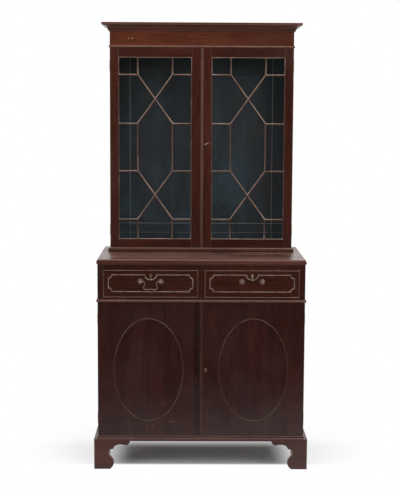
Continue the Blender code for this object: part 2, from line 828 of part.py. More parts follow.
def pane_outlines(left, right, low, high):
    """The thirteen panes between the centre lines of the bars, each anticlockwise."""
    width, height = right - left, high - low
    near = left + BAR_COLUMN_share * width
    far = right - BAR_COLUMN_share * width
    middle = (left + right) / 2
    rows = [high - share * height for share in BAR_ROW_shares]
    upper_cross = (middle, (rows[0] + rows[1]) / 2)
    lower_cross = (middle, (rows[2] + rows[3]) / 2)
    panes = []
    for start, end in ((left, near), (far, right)):
        for bottom, top in ((rows[0], high), (rows[2], rows[1]), (low, rows[3])):
            panes.append([(start, bottom), (end, bottom), (end, top), (start, top)])
    for cross, top, bottom in ((upper_cross, rows[0], rows[1]), (lower_cross, rows[2], rows[3])):
        panes.append([(left, bottom), (near, bottom), cross, (near, top), (left, top)])
        panes.append([(right, top), (far, top), cross, (far, bottom), (right, bottom)])
    panes.append([(near, high), (near, rows[0]), upper_cross, (far, rows[0]), (far, high)])
    panes.append([(far, low), (far, rows[3]), lower_cross, (near, rows[3]), (near, low)])
    panes.append(
        [(near, rows[1]), (near, rows[2]), lower_cross, (far, rows[2]), (far, rows[1]), upper_cross]
    )
    return panes


def glazing(name, left, right, carrier):
    """The bar lattice with its border, and the glass behind it."""
    low = UPPER_DOOR_LOW + GLAZED_BOTTOM_RAIL
    high = UPPER_DOOR_HIGH - GLAZED_TOP_RAIL
    front = UPPER_FACE + BAR_SETBACK
    back = front + BAR_DEPTH
    border = ((left + SEAT, front, low + SEAT), (right - SEAT, back, high - SEAT))
    lattice = piece(name + "_bars", boxes(border), MAHOGANY, carrier)
    openings = bmesh.new()
    for pane in pane_outlines(left, right, low, high):
        wide = inset_outline(pane, BAR_HALF_CREST)
        narrow = inset_outline(pane, BAR_HALF_WIDTH)
        depths = (
            (front - OVERRUN, wide),
            (front, wide),
            (front + BAR_BEVEL_DEPTH, narrow),
            (back + OVERRUN, narrow),
        )
        add_loft(openings, [[(x, y, z) for x, z in outline] for y, outline in depths])
    cut(lattice, "openings", openings)
    sheet = (
        (left + SEAT, back + SEAT, low + SEAT),
        (right - SEAT, back + SEAT + GLASS, high - SEAT),
    )
    piece(name + "_glass", boxes(sheet), CLEAR, carrier)


def upper_door(name, side, hinges, carrier, keyhole_centre=None):
    sight = SIGHT_SPAN / 2
    opening = sorted((side * (UPPER_HALF - OUTER_STILE), side * sight))
    meeting = -UPPER_MEETING_OFFSET + side * MEETING_GAP / 2
    left, right = sorted((side * UPPER_HALF, meeting))
    near, far = UPPER_FACE, UPPER_FACE + GLAZED_DOOR
    board = boxes(((left, near, UPPER_DOOR_LOW), (right, far, UPPER_DOOR_HIGH)))
    frame = piece(name + "_frame", board, MAHOGANY, carrier, smooth=True)
    sight_opening = (
        (opening[0], near - OVERRUN, UPPER_DOOR_LOW + GLAZED_BOTTOM_RAIL),
        (opening[1], far + OVERRUN, UPPER_DOOR_HIGH - GLAZED_TOP_RAIL),
    )
    cut(frame, "sight_opening", boxes(sight_opening))
    if side > 0:
        join_meeting_bead(frame, meeting, near, UPPER_DOOR_LOW, UPPER_DOOR_HIGH)
    join_door_hinges(frame, hinges)
    if keyhole_centre:
        cut_keyhole(frame, keyhole_centre, near, far)
    glazing(name, opening[0], opening[1], carrier)


def cut_keyhole(target, centre, near, far):
    growth = ESCUTCHEON_RIM + SEAT
    cut(target, "keyhole", slab(keyhole(centre, growth), near - OVERRUN, far + OVERRUN))


def join_meeting_bead(target, left, face, low, high):
    """A half-round strip planted on the right door's edge."""
    middle = left + MEETING_BEAD_WIDTH / 2
    section = half_round(MEETING_BEAD_WIDTH, MEETING_BEAD_PROUD, face, face + BITE)
    rings = []
    for z in (low, high):
        rings.append([(middle + across, depth, z) for across, depth in section])
    shape = bmesh.new()
    add_loft(shape, rings)
    join(target, "meeting_bead", shape)


# Cupboard doors


def lower_door(name, side, hinges, carrier, keyhole_centre=None):
    meeting = -LOWER_MEETING_OFFSET + side * MEETING_GAP / 2
    bead = MEETING_BEAD_WIDTH if side > 0 else 0
    left, right = sorted((side * LOWER_HALF, meeting))
    near, far = FACE, FACE + CUPBOARD_DOOR
    shape = boxes(((left, near, LOWER_DOOR_LOW), (right, far, LOWER_DOOR_HIGH)))
    board = piece(name + "_board", shape, MAHOGANY_DARK, carrier, smooth=True)
    centre = (
        (left + bead + right) / 2,
        (LOWER_DOOR_LOW + LOWER_DOOR_HIGH) / 2 - OVAL_DROP,
    )
    oval = ellipse(centre, OVAL_WIDTH / 2, OVAL_HEIGHT / 2)
    cut(board, "oval", slab(oval, near - OVERRUN, far + OVERRUN))
    if side > 0:
        join_meeting_bead(board, meeting, near, LOWER_DOOR_LOW, LOWER_DOOR_HIGH)
    join_door_hinges(board, hinges)
    if keyhole_centre:
        cut_keyhole(board, keyhole_centre, near, far)
    oval_panel(name, centre, near, carrier)


def oval_panel(name, centre, near, carrier):
    """The bead that lines the oval opening, and the panel that it holds."""
    outer = (OVAL_WIDTH / 2 - SEAT, OVAL_HEIGHT / 2 - SEAT)
    inner = (outer[0] - OVAL_BEAD_WIDTH - SEAT, outer[1] - OVAL_BEAD_WIDTH - SEAT)
    bead_back = near + OVAL_BEAD_DEPTH
    sunk = near + OVAL_SINK
    middle = -OVAL_BEAD_WIDTH / 2
    nose = arc((middle, near), (OVAL_BEAD_WIDTH / 2, -OVAL_BEAD_PROUD), 0, 180, 3)
    section = [(0, bead_back), *nose, (-OVAL_BEAD_WIDTH, bead_back)]
    ring = bmesh.new()
    add_closed_moulding(ring, ellipse(centre, *outer), section)
    piece(name + "_oval_bead", ring, MAHOGANY, carrier, smooth=True)
    steps = (
        (sunk, inner),
        (bead_back + SEAT, inner),
        (bead_back + SEAT, outer),
        (bead_back + SEAT + OVAL_PANEL, outer),
    )
    rings = []
    for depth, (wide, high) in steps:
        rings.append([(x, depth, z) for x, z in ellipse(centre, wide, high)])
    panel = bmesh.new()
    add_loft(panel, rings)
    piece(name + "_oval_panel", panel, MAHOGANY_DARK, carrier)


# Drawers


def drawer_span(side):
    return sorted((side * LOWER_INNER, side * DIVIDER_WIDTH / 2))


def drawer_box(name, side, carrier):
    left, right = drawer_span(side)
    left += DRAWER_PLAY
    right -= DRAWER_PLAY
    low = DRAWER_LOW + SEAT
    top = DRAWER_HIGH - DRAWER_PLAY
    front = FACE + DRAWER_SETBACK
    bead_back = front + COCK_BEAD_DEPTH
    board_back = front + DRAWER_FRONT
    inset = COCK_BEAD_WIDTH + SEAT
    centre = drawer_keyhole(side)
    rings = []
    for depth, step in (
        (front, inset),
        (bead_back + SEAT, inset),
        (bead_back + SEAT, 0),
        (board_back, 0),
    ):
        x0, x1, z0, z1 = left + step, right - step, low + step, top - step
        rings.append([(x0, depth, z0), (x1, depth, z0), (x1, depth, z1), (x0, depth, z1)])
    shape = bmesh.new()
    add_loft(shape, rings)
    board = piece(name + "_front", shape, MAHOGANY_DARK, carrier, smooth=True)
    applied = bmesh.new()
    section = half_round(PANEL_MOULDING_WIDTH, PANEL_MOULDING_PROUD, front, front + BITE)
    add_closed_moulding(applied, panel_path(left, right, low, top, centre[0]), section)
    join(board, "applied_moulding", applied)
    cut_keyhole(board, centre, front, board_back)
    beads = bmesh.new()
    rim = [(left, low), (right, low), (right, top), (left, top)]
    nose_radius = COCK_BEAD_WIDTH / 2
    nose_centre = (-nose_radius, front - COCK_BEAD_PROUD + nose_radius)
    nose = arc(nose_centre, (nose_radius, -nose_radius), 0, 180, 4)
    add_closed_moulding(beads, rim, [(0, bead_back), *nose, (-COCK_BEAD_WIDTH, bead_back)])
    piece(name + "_cock_bead", beads, MAHOGANY, carrier, smooth=True)
    near, far = board_back + SEAT, front + DRAWER_DEPTH
    box_top = top - DRAWER_SIDE_DROP
    box = piece(name + "_box", boxes(((left, near, low), (right, far, box_top))), PINE, carrier)
    x0, x1 = left + DRAWER_SIDE, right - DRAWER_SIDE
    floor = low + DRAWER_BOTTOM_LIFT
    room = (
        (x0, near - OVERRUN, floor + DRAWER_BOTTOM),
        (x1, far - DRAWER_SIDE, box_top + OVERRUN),
    )
    cut(box, "room", boxes(room))
    cut(box, "underside", boxes(((x0, near - OVERRUN, low - OVERRUN), (x1, far + OVERRUN, floor))))


def drawer_keyhole(side):
    left, right = drawer_span(side)
    return ((left + right) / 2, DRAWER_HIGH - DRAWER_PLAY - LOCK_TOP_DROP - KEY_PIVOT_DROP)


def panel_path(left, right, low, top, middle):
    """The applied moulding's line: hollow corners, and a dip round the keyhole."""
    x0, x1 = left + PANEL_SIDE_MARGIN, right - PANEL_SIDE_MARGIN
    z0, z1 = low + PANEL_BOTTOM_MARGIN, top - PANEL_TOP_MARGIN
    corner = (PANEL_CORNER, PANEL_CORNER)
    dip = (PANEL_DIP_WIDTH / 2, PANEL_DIP_DROP)
    points = []
    points += arc((x0, z0), corner, 90, 0)
    points += arc((x1, z0), corner, 180, 90)
    points += arc((x1, z1), corner, 270, 180)
    points += arc((middle, z1), dip, 360, 180, 10)
    points += arc((x0, z1), corner, 360, 270)
    return points


# Handles


def handle_places(side):
    left, right = drawer_span(side)
    middle = (left + right) / 2
    height = (DRAWER_LOW + DRAWER_HIGH) / 2 + HANDLE_LIFT
    return [(middle - HANDLE_SPAN / 2, height), (middle + HANDLE_SPAN / 2, height)]


def bail_axis_depth():
    return FACE + DRAWER_SETBACK - SEAT - POST_REACH + POST_KNOB_RADIUS


def handle_posts(name, side, carrier):
    """A domed rose and a post with a round head on each side, bored for the bail's pins."""
    base = FACE + DRAWER_SETBACK - SEAT
    axis_depth = bail_axis_depth()
    profile = [(base - out * ROSE_THICKNESS, wide * ROSE_RADIUS) for out, wide in ROSE_shares]
    neck = math.degrees(math.asin(POST_RADIUS / POST_KNOB_RADIUS))
    for index in range(6):
        turn = math.radians(neck + (165 - neck) * index / 5)
        depth = axis_depth + POST_KNOB_RADIUS * math.cos(turn)
        profile.append((depth, POST_KNOB_RADIUS * math.sin(turn)))
    for label, inward, (x, z) in zip(("left", "right"), (1, -1), handle_places(side)):
        shape = bmesh.new()
        add_turned(shape, (x, z), profile)
        post = piece(f"{name}_{label}_post", shape, BRASS, carrier, smooth=True)
        start = x + inward * (POST_KNOB_RADIUS - BAIL_PIN_LENGTH - SEAT)
        end = x + inward * (POST_KNOB_RADIUS + OVERRUN)
        ring = circle((axis_depth, z), BAIL_PIN + BAIL_PLAY, 10)
        bore = bmesh.new()
        add_loft(bore, [[(place, y, height) for y, height in ring] for place in (start, end)])
        cut(post, "pin_bore", bore)


def bail(name, side, carrier):
    """A swan-neck bail, with a pin at each end that turns in its post."""
    (left, height), (right, _) = handle_places(side)
    middle = (left + right) / 2
    half = (right - left) / 2
    depth = bail_axis_depth()
    pin_end = half - POST_KNOB_RADIUS + BAIL_PIN_LENGTH
    shoulder = half - POST_KNOB_RADIUS - BAIL_WIRE - BAIL_PLAY
    right_half = [(shoulder, 0.0)]
    right_half += [(out * half, -down * BAIL_DROP) for out, down in BAIL_shares]
    route = right_half + [(-out, rise) for out, rise in reversed(right_half[:-1])]
    line = smooth_line([Vector((middle + out, depth, height + rise)) for out, rise in route], 2)
    shape = bmesh.new()
    add_tube_along(shape, line, BAIL_WIRE, WIRE_SIDES)
    handle = piece(name, shape, BRASS, carrier, smooth=True)
    pins = bmesh.new()
    ring = circle((depth, height), BAIL_PIN, 10)
    for direction in (-1, 1):
        start = middle + direction * (shoulder - BAIL_WIRE)
        end = middle + direction * pin_end
        add_loft(pins, [[(x, y, z) for y, z in ring] for x in (start, end)])
    join(handle, "pins", pins)


def smooth_line(points, steps):
    """A Catmull-Rom line through the points."""
    line = []
    for index in range(len(points) - 1):
        before = points[max(index - 1, 0)]
        start, end = points[index], points[index + 1]
        after = points[min(index + 2, len(points) - 1)]
        for step in range(steps):
            t = step / steps
            line.append(
                0.5
                * (
                    2 * start
                    + (end - before) * t
                    + (2 * before - 5 * start + 4 * end - after) * t**2
                    + (3 * start - before - 3 * end + after) * t**3
                )
            )
    line.append(points[-1])
    return line


def add_tube_along(shape, line, radius, sides):
    """A round wire along a line that lies in one upright plane."""
    rings = []
    for index, point in enumerate(line):
        before = line[max(index - 1, 0)]
        after = line[min(index + 1, len(line) - 1)]
        tangent = (after - before).normalized()
        across = tangent.cross(Vector((0, 1, 0))).normalized()
        forward = across.cross(tangent)
        ring = []
        for side in range(sides):
            turn = 2 * math.pi * side / sides
            ring.append(point + radius * (math.cos(turn) * across + math.sin(turn) * forward))
        rings.append(ring)
    add_loft(shape, rings)


# Locks and keys


def lock(name, centre, face, behind, throw, carrier, bolt_carrier):
    """A lock behind a board, its sliding bolt, and the brass lining of its keyhole.

    centre is the keyhole's centre in X and Z, face and behind are the board's two faces, and throw
    is the unit direction in which the bolt leaves the lock.
    """
    near = behind + SEAT
    head = KEY_PIVOT_DROP
    along = (-throw[1], throw[0])

    def place(forward, sideways):
        return (
            centre[0] + throw[0] * forward + along[0] * sideways,
            centre[1] + throw[1] * forward + along[1] * sideways,
        )

    def span(forward_low, forward_high, sideways, near_y, far_y):
        a, b = place(forward_low, -sideways), place(forward_high, sideways)
        return (
            (min(a[0], b[0]), near_y, min(a[1], b[1])),
            (max(a[0], b[0]), far_y, max(a[1], b[1])),
        )

    body = span(head - LOCK_WIDTH, head, LOCK_LENGTH / 2, near, near + LOCK_THICKNESS)
    case = piece(name + "_lock", boxes(body), BRASS, carrier)
    pocket_radius = KEY_SHANK + KEY_BIT_HEIGHT + SLIDE_PLAY
    pocket_near = near + (LOCK_THICKNESS - KEY_BIT_LENGTH) / 2 - SLIDE_PLAY
    pocket_far = pocket_near + KEY_BIT_LENGTH + 2 * SLIDE_PLAY
    cut(case, "key_pocket", slab(circle(centre, pocket_radius), pocket_near, pocket_far))
    cut(case, "key_entry", slab(keyhole(centre, SEAT), near - OVERRUN, pocket_near + SLIDE_PLAY))
    bolt_near = near + (LOCK_THICKNESS - BOLT_THICKNESS) / 2
    bolt_far = bolt_near + BOLT_THICKNESS
    play = SLIDE_PLAY
    slot_start, slot_end = head - BOLT_LENGTH - play, head + OVERRUN
    slot = span(slot_start, slot_end, BOLT_WIDTH / 2 + play, bolt_near - play, bolt_far + play)
    cut(case, "bolt_slot", boxes(slot))
    lining = bmesh.new()
    rim = ESCUTCHEON_RIM
    section = ((0, near + BITE), (rim, near + BITE), (rim, face - SEAT), (0, face - SEAT))
    add_closed_moulding(lining, keyhole(centre, 0), section)
    join(case, "keyhole_lining", lining)
    bolt = span(head - BOLT_LENGTH, head, BOLT_WIDTH / 2, bolt_near, bolt_far)
    piece(name + "_lock_bolt", boxes(bolt), STEEL, bolt_carrier)


def key_shape(centre, face, behind, tilt):
    """A key whose bow stands in front of the face and whose bit lies in the lock behind it."""
    tip = behind + SEAT + (LOCK_THICKNESS + KEY_BIT_LENGTH) / 2
    bow_middle = face - KEY_REACH + KEY_BOW_WIDTH / 2
    collar_near = bow_middle + KEY_BOW_WIDTH / 2
    shape = bmesh.new()
    profile = (
        (collar_near - KEY_BOW_SECTION / 2, KEY_SHANK),
        (collar_near, KEY_COLLAR),
        (collar_near + KEY_SHANK, KEY_COLLAR),
        (collar_near + 2 * KEY_SHANK, KEY_SHANK),
        (tip, KEY_SHANK),
    )
    add_turned(shape, centre, profile, 10)
    bow = bmesh.new()
    steps = 18
    half_long = KEY_BOW_LENGTH / 2 - KEY_BOW_SECTION / 2
    half_deep = KEY_BOW_WIDTH / 2 - KEY_BOW_SECTION / 2
    rings = []
    for index in range(steps):
        turn = 2 * math.pi * index / steps
        radial = (math.cos(turn) * half_long, math.sin(turn) * half_deep)
        ring = []
        for corner in range(WIRE_SIDES):
            swing = 2 * math.pi * corner / WIRE_SIDES
            grow = 1 + math.cos(swing) * KEY_BOW_SECTION / 2 / half_deep
            lift = math.sin(swing) * KEY_BOW_SECTION / 2
            out = radial[0] * grow
            x = centre[0] + out * math.cos(tilt) - lift * math.sin(tilt)
            z = centre[1] + out * math.sin(tilt) + lift * math.cos(tilt)
            ring.append((x, bow_middle + radial[1] * grow, z))
        rings.append(ring)
    made = [[bow.verts.new(point) for point in ring] for ring in rings]
    for index, near in enumerate(made):
        far = made[(index + 1) % steps]
        for side, vert in enumerate(near):
            after = (side + 1) % len(near)
            bow.faces.new((vert, near[after], far[after], far[side]))
    bit = bmesh.new()
    reach = KEY_SHANK + KEY_BIT_HEIGHT
    half = KEY_BIT_THICKNESS / 2
    flag = []
    for out, lift in ((0, -half), (-reach, -half), (-reach, half), (0, half)):
        x = centre[0] + out * math.cos(tilt) - lift * math.sin(tilt)
        z = centre[1] + out * math.sin(tilt) + lift * math.cos(tilt)
        flag.append((x, z))
    add_slab(bit, flag, tip - KEY_BIT_LENGTH, tip - SEAT)
    return shape, bow, bit


def key(name, centre, face, behind, tilt, carrier):
    shank, bow, bit = key_shape(centre, face, behind, tilt)
    made = piece(name, shank, STEEL, carrier, smooth=True)
    join(made, "bow", bow)
    join(made, "bit", bit)


# Whole object


def hinge_places():
    """The hinges of each door: their axis in X and Y, their side of the case and their foot."""
    upper_heights = hinge_heights(UPPER_DOOR_LOW, UPPER_DOOR_HIGH, UPPER_HINGE_INSET)
    lower_heights = hinge_heights(LOWER_DOOR_LOW, LOWER_DOOR_HIGH, LOWER_HINGE_INSET)
    upper_line = UPPER_FACE + GLAZED_DOOR + DOOR_JOINT / 2
    lower_line = FACE + CUPBOARD_DOOR + DOOR_JOINT / 2
    hinges = {}
    for side in (-1, 1):
        upper_axis = (side * (UPPER_HALF + SEAT), upper_line)
        lower_axis = (side * (LOWER_HALF + SEAT), lower_line)
        hinges["upper", side] = [(upper_axis, side, z) for z in upper_heights]
        hinges["lower", side] = [(lower_axis, side, z) for z in lower_heights]
    return hinges


def build_case(hinges):
    lower_side("lower_side_left", -1, hinges["lower", -1])
    lower_side("lower_side_right", 1, hinges["lower", 1])
    lower_boards()
    drawer_rails(drawer_bolt_sockets())
    waist_bead()
    lower_top()
    feet()
    upper_side("upper_side_left", -1, hinges["upper", -1])
    upper_side("upper_side_right", 1, hinges["upper", 1])
    upper_boards()
    frieze()
    cornice()
    for (case, case_side), pair in hinges.items():
        label = "left" if case_side < 0 else "right"
        for level, (axis, side, low) in zip(("bottom", "top"), pair):
            case_hinge(f"{case}_{label}_hinge_{level}", axis, side, low)


def drawer_bolt_sockets():
    """Mortises in the top rail for the bolts of the two drawer locks."""
    near = FACE + DRAWER_SETBACK + DRAWER_FRONT + SEAT + (LOCK_THICKNESS - BOLT_THICKNESS) / 2
    half = BOLT_WIDTH / 2 + SLIDE_PLAY
    sockets = []
    for side in (-1, 1):
        middle, height = drawer_keyhole(side)
        top = height + KEY_PIVOT_DROP + BOLT_THROW + SLIDE_PLAY
        sockets.append(
            (
                (middle - half, near - SLIDE_PLAY, DRAWER_HIGH - OVERRUN),
                (middle + half, near + BOLT_THICKNESS + SLIDE_PLAY, top),
            )
        )
    return sockets


def door_lock(name, centre, face, thickness, carrier):
    behind = face + thickness
    slide = joint_axis(name + "_bolt_slide", (centre[0], behind, centre[1]), carrier)
    lock(name, centre, face, behind, (-1, 0), carrier, slide)


def build_doors(hinges):
    carriers = {}
    for case, low in (("upper", UPPER_DOOR_LOW), ("lower", LOWER_DOOR_LOW)):
        for label, side in (("left", -1), ("right", 1)):
            axis = hinges[case, side][0][0]
            carriers[case, side] = joint_axis(f"{case}_{label}_door_axis", (*axis, low))
    edge = MEETING_GAP / 2 - UPPER_MEETING_OFFSET
    upper_keyhole = (edge + UPPER_KEYHOLE_INSET, UPPER_DOOR_LOW + UPPER_KEYHOLE_HEIGHT)
    edge = MEETING_GAP / 2 - LOWER_MEETING_OFFSET
    lower_keyhole = (edge + LOWER_KEYHOLE_INSET, LOWER_DOOR_LOW + LOWER_KEYHOLE_HEIGHT)
    upper_right, lower_right = carriers["upper", 1], carriers["lower", 1]
    upper_door("upper_left_door", -1, hinges["upper", -1], carriers["upper", -1])
    upper_door("upper_right_door", 1, hinges["upper", 1], upper_right, upper_keyhole)
    lower_door("lower_left_door", -1, hinges["lower", -1], carriers["lower", -1])
    lower_door("lower_right_door", 1, hinges["lower", 1], lower_right, lower_keyhole)
    door_lock("upper_right_door", upper_keyhole, UPPER_FACE, GLAZED_DOOR, upper_right)
    door_lock("lower_right_door", lower_keyhole, FACE, CUPBOARD_DOOR, lower_right)
    place = (upper_keyhole[0], UPPER_FACE, upper_keyhole[1])
    turn = joint_axis("upper_key_turn", place, upper_right)
    behind = UPPER_FACE + GLAZED_DOOR
    key("upper_door_key", upper_keyhole, UPPER_FACE, behind, UPPER_KEY_TILT, turn)


def build_drawers():
    for name, side in (("left_drawer", -1), ("right_drawer", 1)):
        left, right = drawer_span(side)
        front = FACE + DRAWER_SETBACK
        behind = front + DRAWER_FRONT
        carrier = joint_axis(name + "_slide", ((left + right) / 2, front, DRAWER_LOW))
        drawer_box(name, side, carrier)
        handle_posts(name, side, carrier)
        centre = drawer_keyhole(side)
        bolt_slide = joint_axis(name + "_bolt_slide", (centre[0], behind, centre[1]), carrier)
        lock(name, centre, front, behind, (0, 1), carrier, bolt_slide)
        if side < 0:
            middle, height = (left + right) / 2, handle_places(side)[0][1]
            swing = joint_axis("bail_swing", (middle, bail_axis_depth(), height), carrier)
            bail("left_drawer_bail", side, swing)
        else:
            turn = joint_axis("drawer_key_turn", (centre[0], front, centre[1]), carrier)
            key("right_drawer_key", centre, front, behind, DRAWER_KEY_TILT, turn)


def build():
    clear_scene()
    hinges = hinge_places()
    build_case(hinges)
    build_doors(hinges)
    build_drawers()


if __name__ == "__main__":
    build()
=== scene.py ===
"""Glazed bookcase on a cupboard base: its finished pieces, their finishes, the floor and the light.

Metres, +Z up, front towards -Y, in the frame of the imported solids.
"""

import math
from contextlib import contextmanager

import bmesh
import bpy
from mathutils import Euler, Matrix, Vector


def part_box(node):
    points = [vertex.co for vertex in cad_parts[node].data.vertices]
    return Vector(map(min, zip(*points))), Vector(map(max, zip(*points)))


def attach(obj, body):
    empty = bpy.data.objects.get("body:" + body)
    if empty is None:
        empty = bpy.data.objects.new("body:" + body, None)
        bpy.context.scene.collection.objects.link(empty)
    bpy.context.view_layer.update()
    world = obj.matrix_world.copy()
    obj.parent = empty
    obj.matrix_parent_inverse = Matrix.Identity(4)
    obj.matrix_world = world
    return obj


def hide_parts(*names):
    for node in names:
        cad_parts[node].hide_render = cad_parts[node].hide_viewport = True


bl_info = {
    "name": "Glazed Bookcase",
    "version": (1, 0, 0),
    "blender": (4, 5, 0),
    "location": "View3D > Sidebar > Bookcase",
    "description": "Builds the pieces of a glazed bookcase on a cupboard base",
    "category": "Object",
}

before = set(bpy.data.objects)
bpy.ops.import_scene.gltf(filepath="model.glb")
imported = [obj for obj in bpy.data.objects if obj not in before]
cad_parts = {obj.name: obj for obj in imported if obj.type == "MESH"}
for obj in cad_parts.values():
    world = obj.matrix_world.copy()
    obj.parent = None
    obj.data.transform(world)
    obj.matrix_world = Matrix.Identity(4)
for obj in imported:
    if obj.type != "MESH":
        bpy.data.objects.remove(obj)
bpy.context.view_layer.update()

SIDES = (("left", -1), ("right", 1))

# Play round what is let in, how far a cutting tool runs past the wood, and what counts as the same place
SEAT = 0.0003
OVERRUN = 0.01
NEAR = 1e-5

# Thicknesses, how far a meeting bead stands proud and apart, and the play round a keyhole's metal
DOOR_THICKNESS = 0.022
DRAWER_FRONT = 0.020
MEETING_PROUD = 0.0045
MEETING_GAP = 0.0007
KEYHOLE_PLAY = 0.0015

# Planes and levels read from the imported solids
LOWER_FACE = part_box("lower_left_door_board")[0].y
LOWER_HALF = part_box("lower_side_right")[1].x
UPPER_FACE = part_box("upper_left_door_frame")[0].y
UPPER_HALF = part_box("upper_side_right")[1].x
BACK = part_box("lower_back")[1].y
SIGHT_LOW, SIGHT_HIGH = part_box("upper_right_door_bars")


# Selecting and editing


def deselect():
    if bpy.context.mode != "OBJECT":
        bpy.ops.object.mode_set(mode="OBJECT")
    bpy.ops.object.select_all(action="DESELECT")


def take(obj):
    deselect()
    obj.select_set(True)
    bpy.context.view_layer.objects.active = obj


@contextmanager
def editing(obj, everything=None):
    """Edit mode on one object, with nothing selected, or everything in the mode named."""
    take(obj)
    bpy.ops.object.mode_set(mode="EDIT")
    bpy.ops.mesh.select_mode(type=everything or "FACE")
    bpy.ops.mesh.select_all(action="SELECT" if everything else "DESELECT")
    yield
    bpy.ops.object.mode_set(mode="OBJECT")


def pick(kind, test=lambda item: True):
    """Selects the faces or edges of the mesh in edit mode for which the test holds."""
    mesh = bpy.context.edit_object.data
    bpy.ops.mesh.select_mode(type=kind[:-1].upper())
    bpy.ops.mesh.select_all(action="DESELECT")
    shape = bmesh.from_edit_mesh(mesh)
    for item in getattr(shape, kind):
        if test(item):
            item.select_set(True)
    bmesh.update_edit_mesh(mesh)


def middle(item):
    return sum((vert.co for vert in item.verts), Vector()) / len(item.verts)


def all_of(item, test):
    return all(test(vert.co) for vert in item.verts)


def apply_place(obj):
    take(obj)
    bpy.ops.object.transform_apply(location=True, rotation=True, scale=True)
    return obj


def modified(obj, kind, **settings):
    """Adds one modifier and applies it."""
    modifier = obj.modifiers.new(kind.lower(), kind)
    for key, value in settings.items():
        setattr(modifier, key, value)
    take(obj)
    bpy.ops.object.modifier_apply(modifier=modifier.name)
    return obj


def clean(obj):
    """Merges doubles and turns the faces outwards."""
    with editing(obj, "VERT"):
        bpy.ops.mesh.remove_doubles(threshold=0.00002)
        bpy.ops.mesh.normals_make_consistent(inside=False)
    return obj


def smooth(obj, angle=40):
    """Smooth shading that keeps the broad faces flat and turns only on the rounded arrises."""
    take(obj)
    bpy.ops.object.shade_smooth_by_angle(angle=math.radians(angle))
    return modified(obj, "WEIGHTED_NORMAL", keep_sharp=True)


def joined(pieces):
    """Makes one object of the pieces, which takes the place of the first."""
    deselect()
    for piece in pieces:
        piece.select_set(True)
    bpy.context.view_layer.objects.active = pieces[0]
    if pieces[1:]:
        bpy.ops.object.join()
    return bpy.context.view_layer.objects.active


def copied(obj, move, flip):
    """A copy with its own mesh, mirrored about the origin where flip is negative, and then moved."""
    take(obj)
    bpy.ops.object.duplicate(linked=False)
    made = bpy.context.object
    bpy.ops.transform.resize(value=flip, center_override=(0, 0, 0))
    bpy.ops.transform.translate(value=move)
    apply_place(made)
    if min(flip) < 0:
        bpy.ops.mesh.customdata_custom_splitnormals_clear()
        with editing(made, "FACE"):
            bpy.ops.mesh.normals_make_consistent(inside=False)
        smooth(made, 34)
    return made


def carve(obj, tool, operation="DIFFERENCE"):
    modified(obj, "BOOLEAN", operation=operation, solver="EXACT", object=tool)
    bpy.data.objects.remove(tool)
    return obj


# Shapes


def block(low, high, round_off=0.0):
    """A squared board, with its arrises rounded if asked."""
    low, high = Vector(low), Vector(high)
    deselect()
    bpy.ops.mesh.primitive_cube_add(size=1, location=(low + high) / 2, scale=high - low)
    obj = apply_place(bpy.context.object)
    return round_edges(obj, round_off) if round_off else obj


def round_edges(obj, width, segments=2, test=lambda edge: True):
    with editing(obj):
        pick("edges", test)
        bpy.ops.mesh.bevel(offset=width, segments=segments, affect="EDGES", clamp_overlap=True)
    return obj


def rod(start, end, radius, sides=24, round_off=0.0):
    """A round rod between two points, with its end edges rounded if asked."""
    start, end = Vector(start), Vector(end)
    along = end - start
    deselect()
    bpy.ops.mesh.primitive_cylinder_add(
        vertices=sides,
        radius=radius,
        depth=along.length,
        location=(start + end) / 2,
        rotation=along.to_track_quat("Z", "Y").to_euler(),
    )
    obj = apply_place(bpy.context.object)

    def at_end(edge):
        return abs((edge.verts[0].co - edge.verts[1].co).dot(along.normalized())) < NEAR

    return round_edges(obj, round_off, 2, at_end) if round_off else obj


def chain(points, fill=False):
    """Points in a row, each extruded from the last, and filled as one face if asked."""
    points = [Vector(point) for point in points]
    deselect()
    bpy.ops.mesh.primitive_plane_add(size=0.01, location=points[0])
    obj = bpy.context.object
    with editing(obj, "VERT"):
        bpy.ops.mesh.merge(type="CENTER")
        for here, there in zip(points, points[1:]):
            bpy.ops.mesh.extrude_region_move(TRANSFORM_OT_translate={"value": there - here})
        if fill:
            bpy.ops.mesh.select_all(action="SELECT")
            bpy.ops.mesh.edge_face_add()
    return apply_place(obj)


def prism(points, push):
    """A closed outline filled and extruded by a vector."""
    obj = chain(points, fill=True)
    with editing(obj, "FACE"):
        bpy.ops.mesh.extrude_region_move(TRANSFORM_OT_translate={"value": push})
    return clean(obj)


def turned(centre, profile, steps=40):
    """Spins (along, radius) pairs about a line through the centre from front to back."""
    centre = Vector(centre)
    obj = chain([centre + Vector((0, along, radius)) for along, radius in profile])
    with editing(obj, "VERT"):
        bpy.ops.mesh.spin(steps=steps, angle=2 * math.pi, center=centre, axis=(0, 1, 0))
    return smooth(clean(obj))


def smooth_line(points, steps):
    """A Catmull-Rom line through the points."""
    points = [Vector(point) for point in points]
    line = []
    for index, (start, end) in enumerate(zip(points, points[1:])):
        before, after = points[max(index - 1, 0)], points[min(index + 2, len(points) - 1)]
        for t in (step / steps for step in range(steps)):
            square = (2 * before - 5 * start + 4 * end - after) * t**2
            cube = (3 * start - before - 3 * end + after) * t**3
            line.append(0.5 * (2 * start + (end - before) * t + square + cube))
    return [*line, points[-1]]


def wire(line, radius):
    """Turns an object that holds a line of edges into a round wire along it."""
    take(line)
    bpy.ops.object.convert(target="CURVE")
    curve = line.data
    curve.dimensions = "3D"
    curve.bevel_depth = radius
    curve.bevel_resolution = 4
    curve.use_fill_caps = True
    take(line)
    bpy.ops.object.convert(target="MESH")
    return smooth(clean(bpy.context.object), 50)


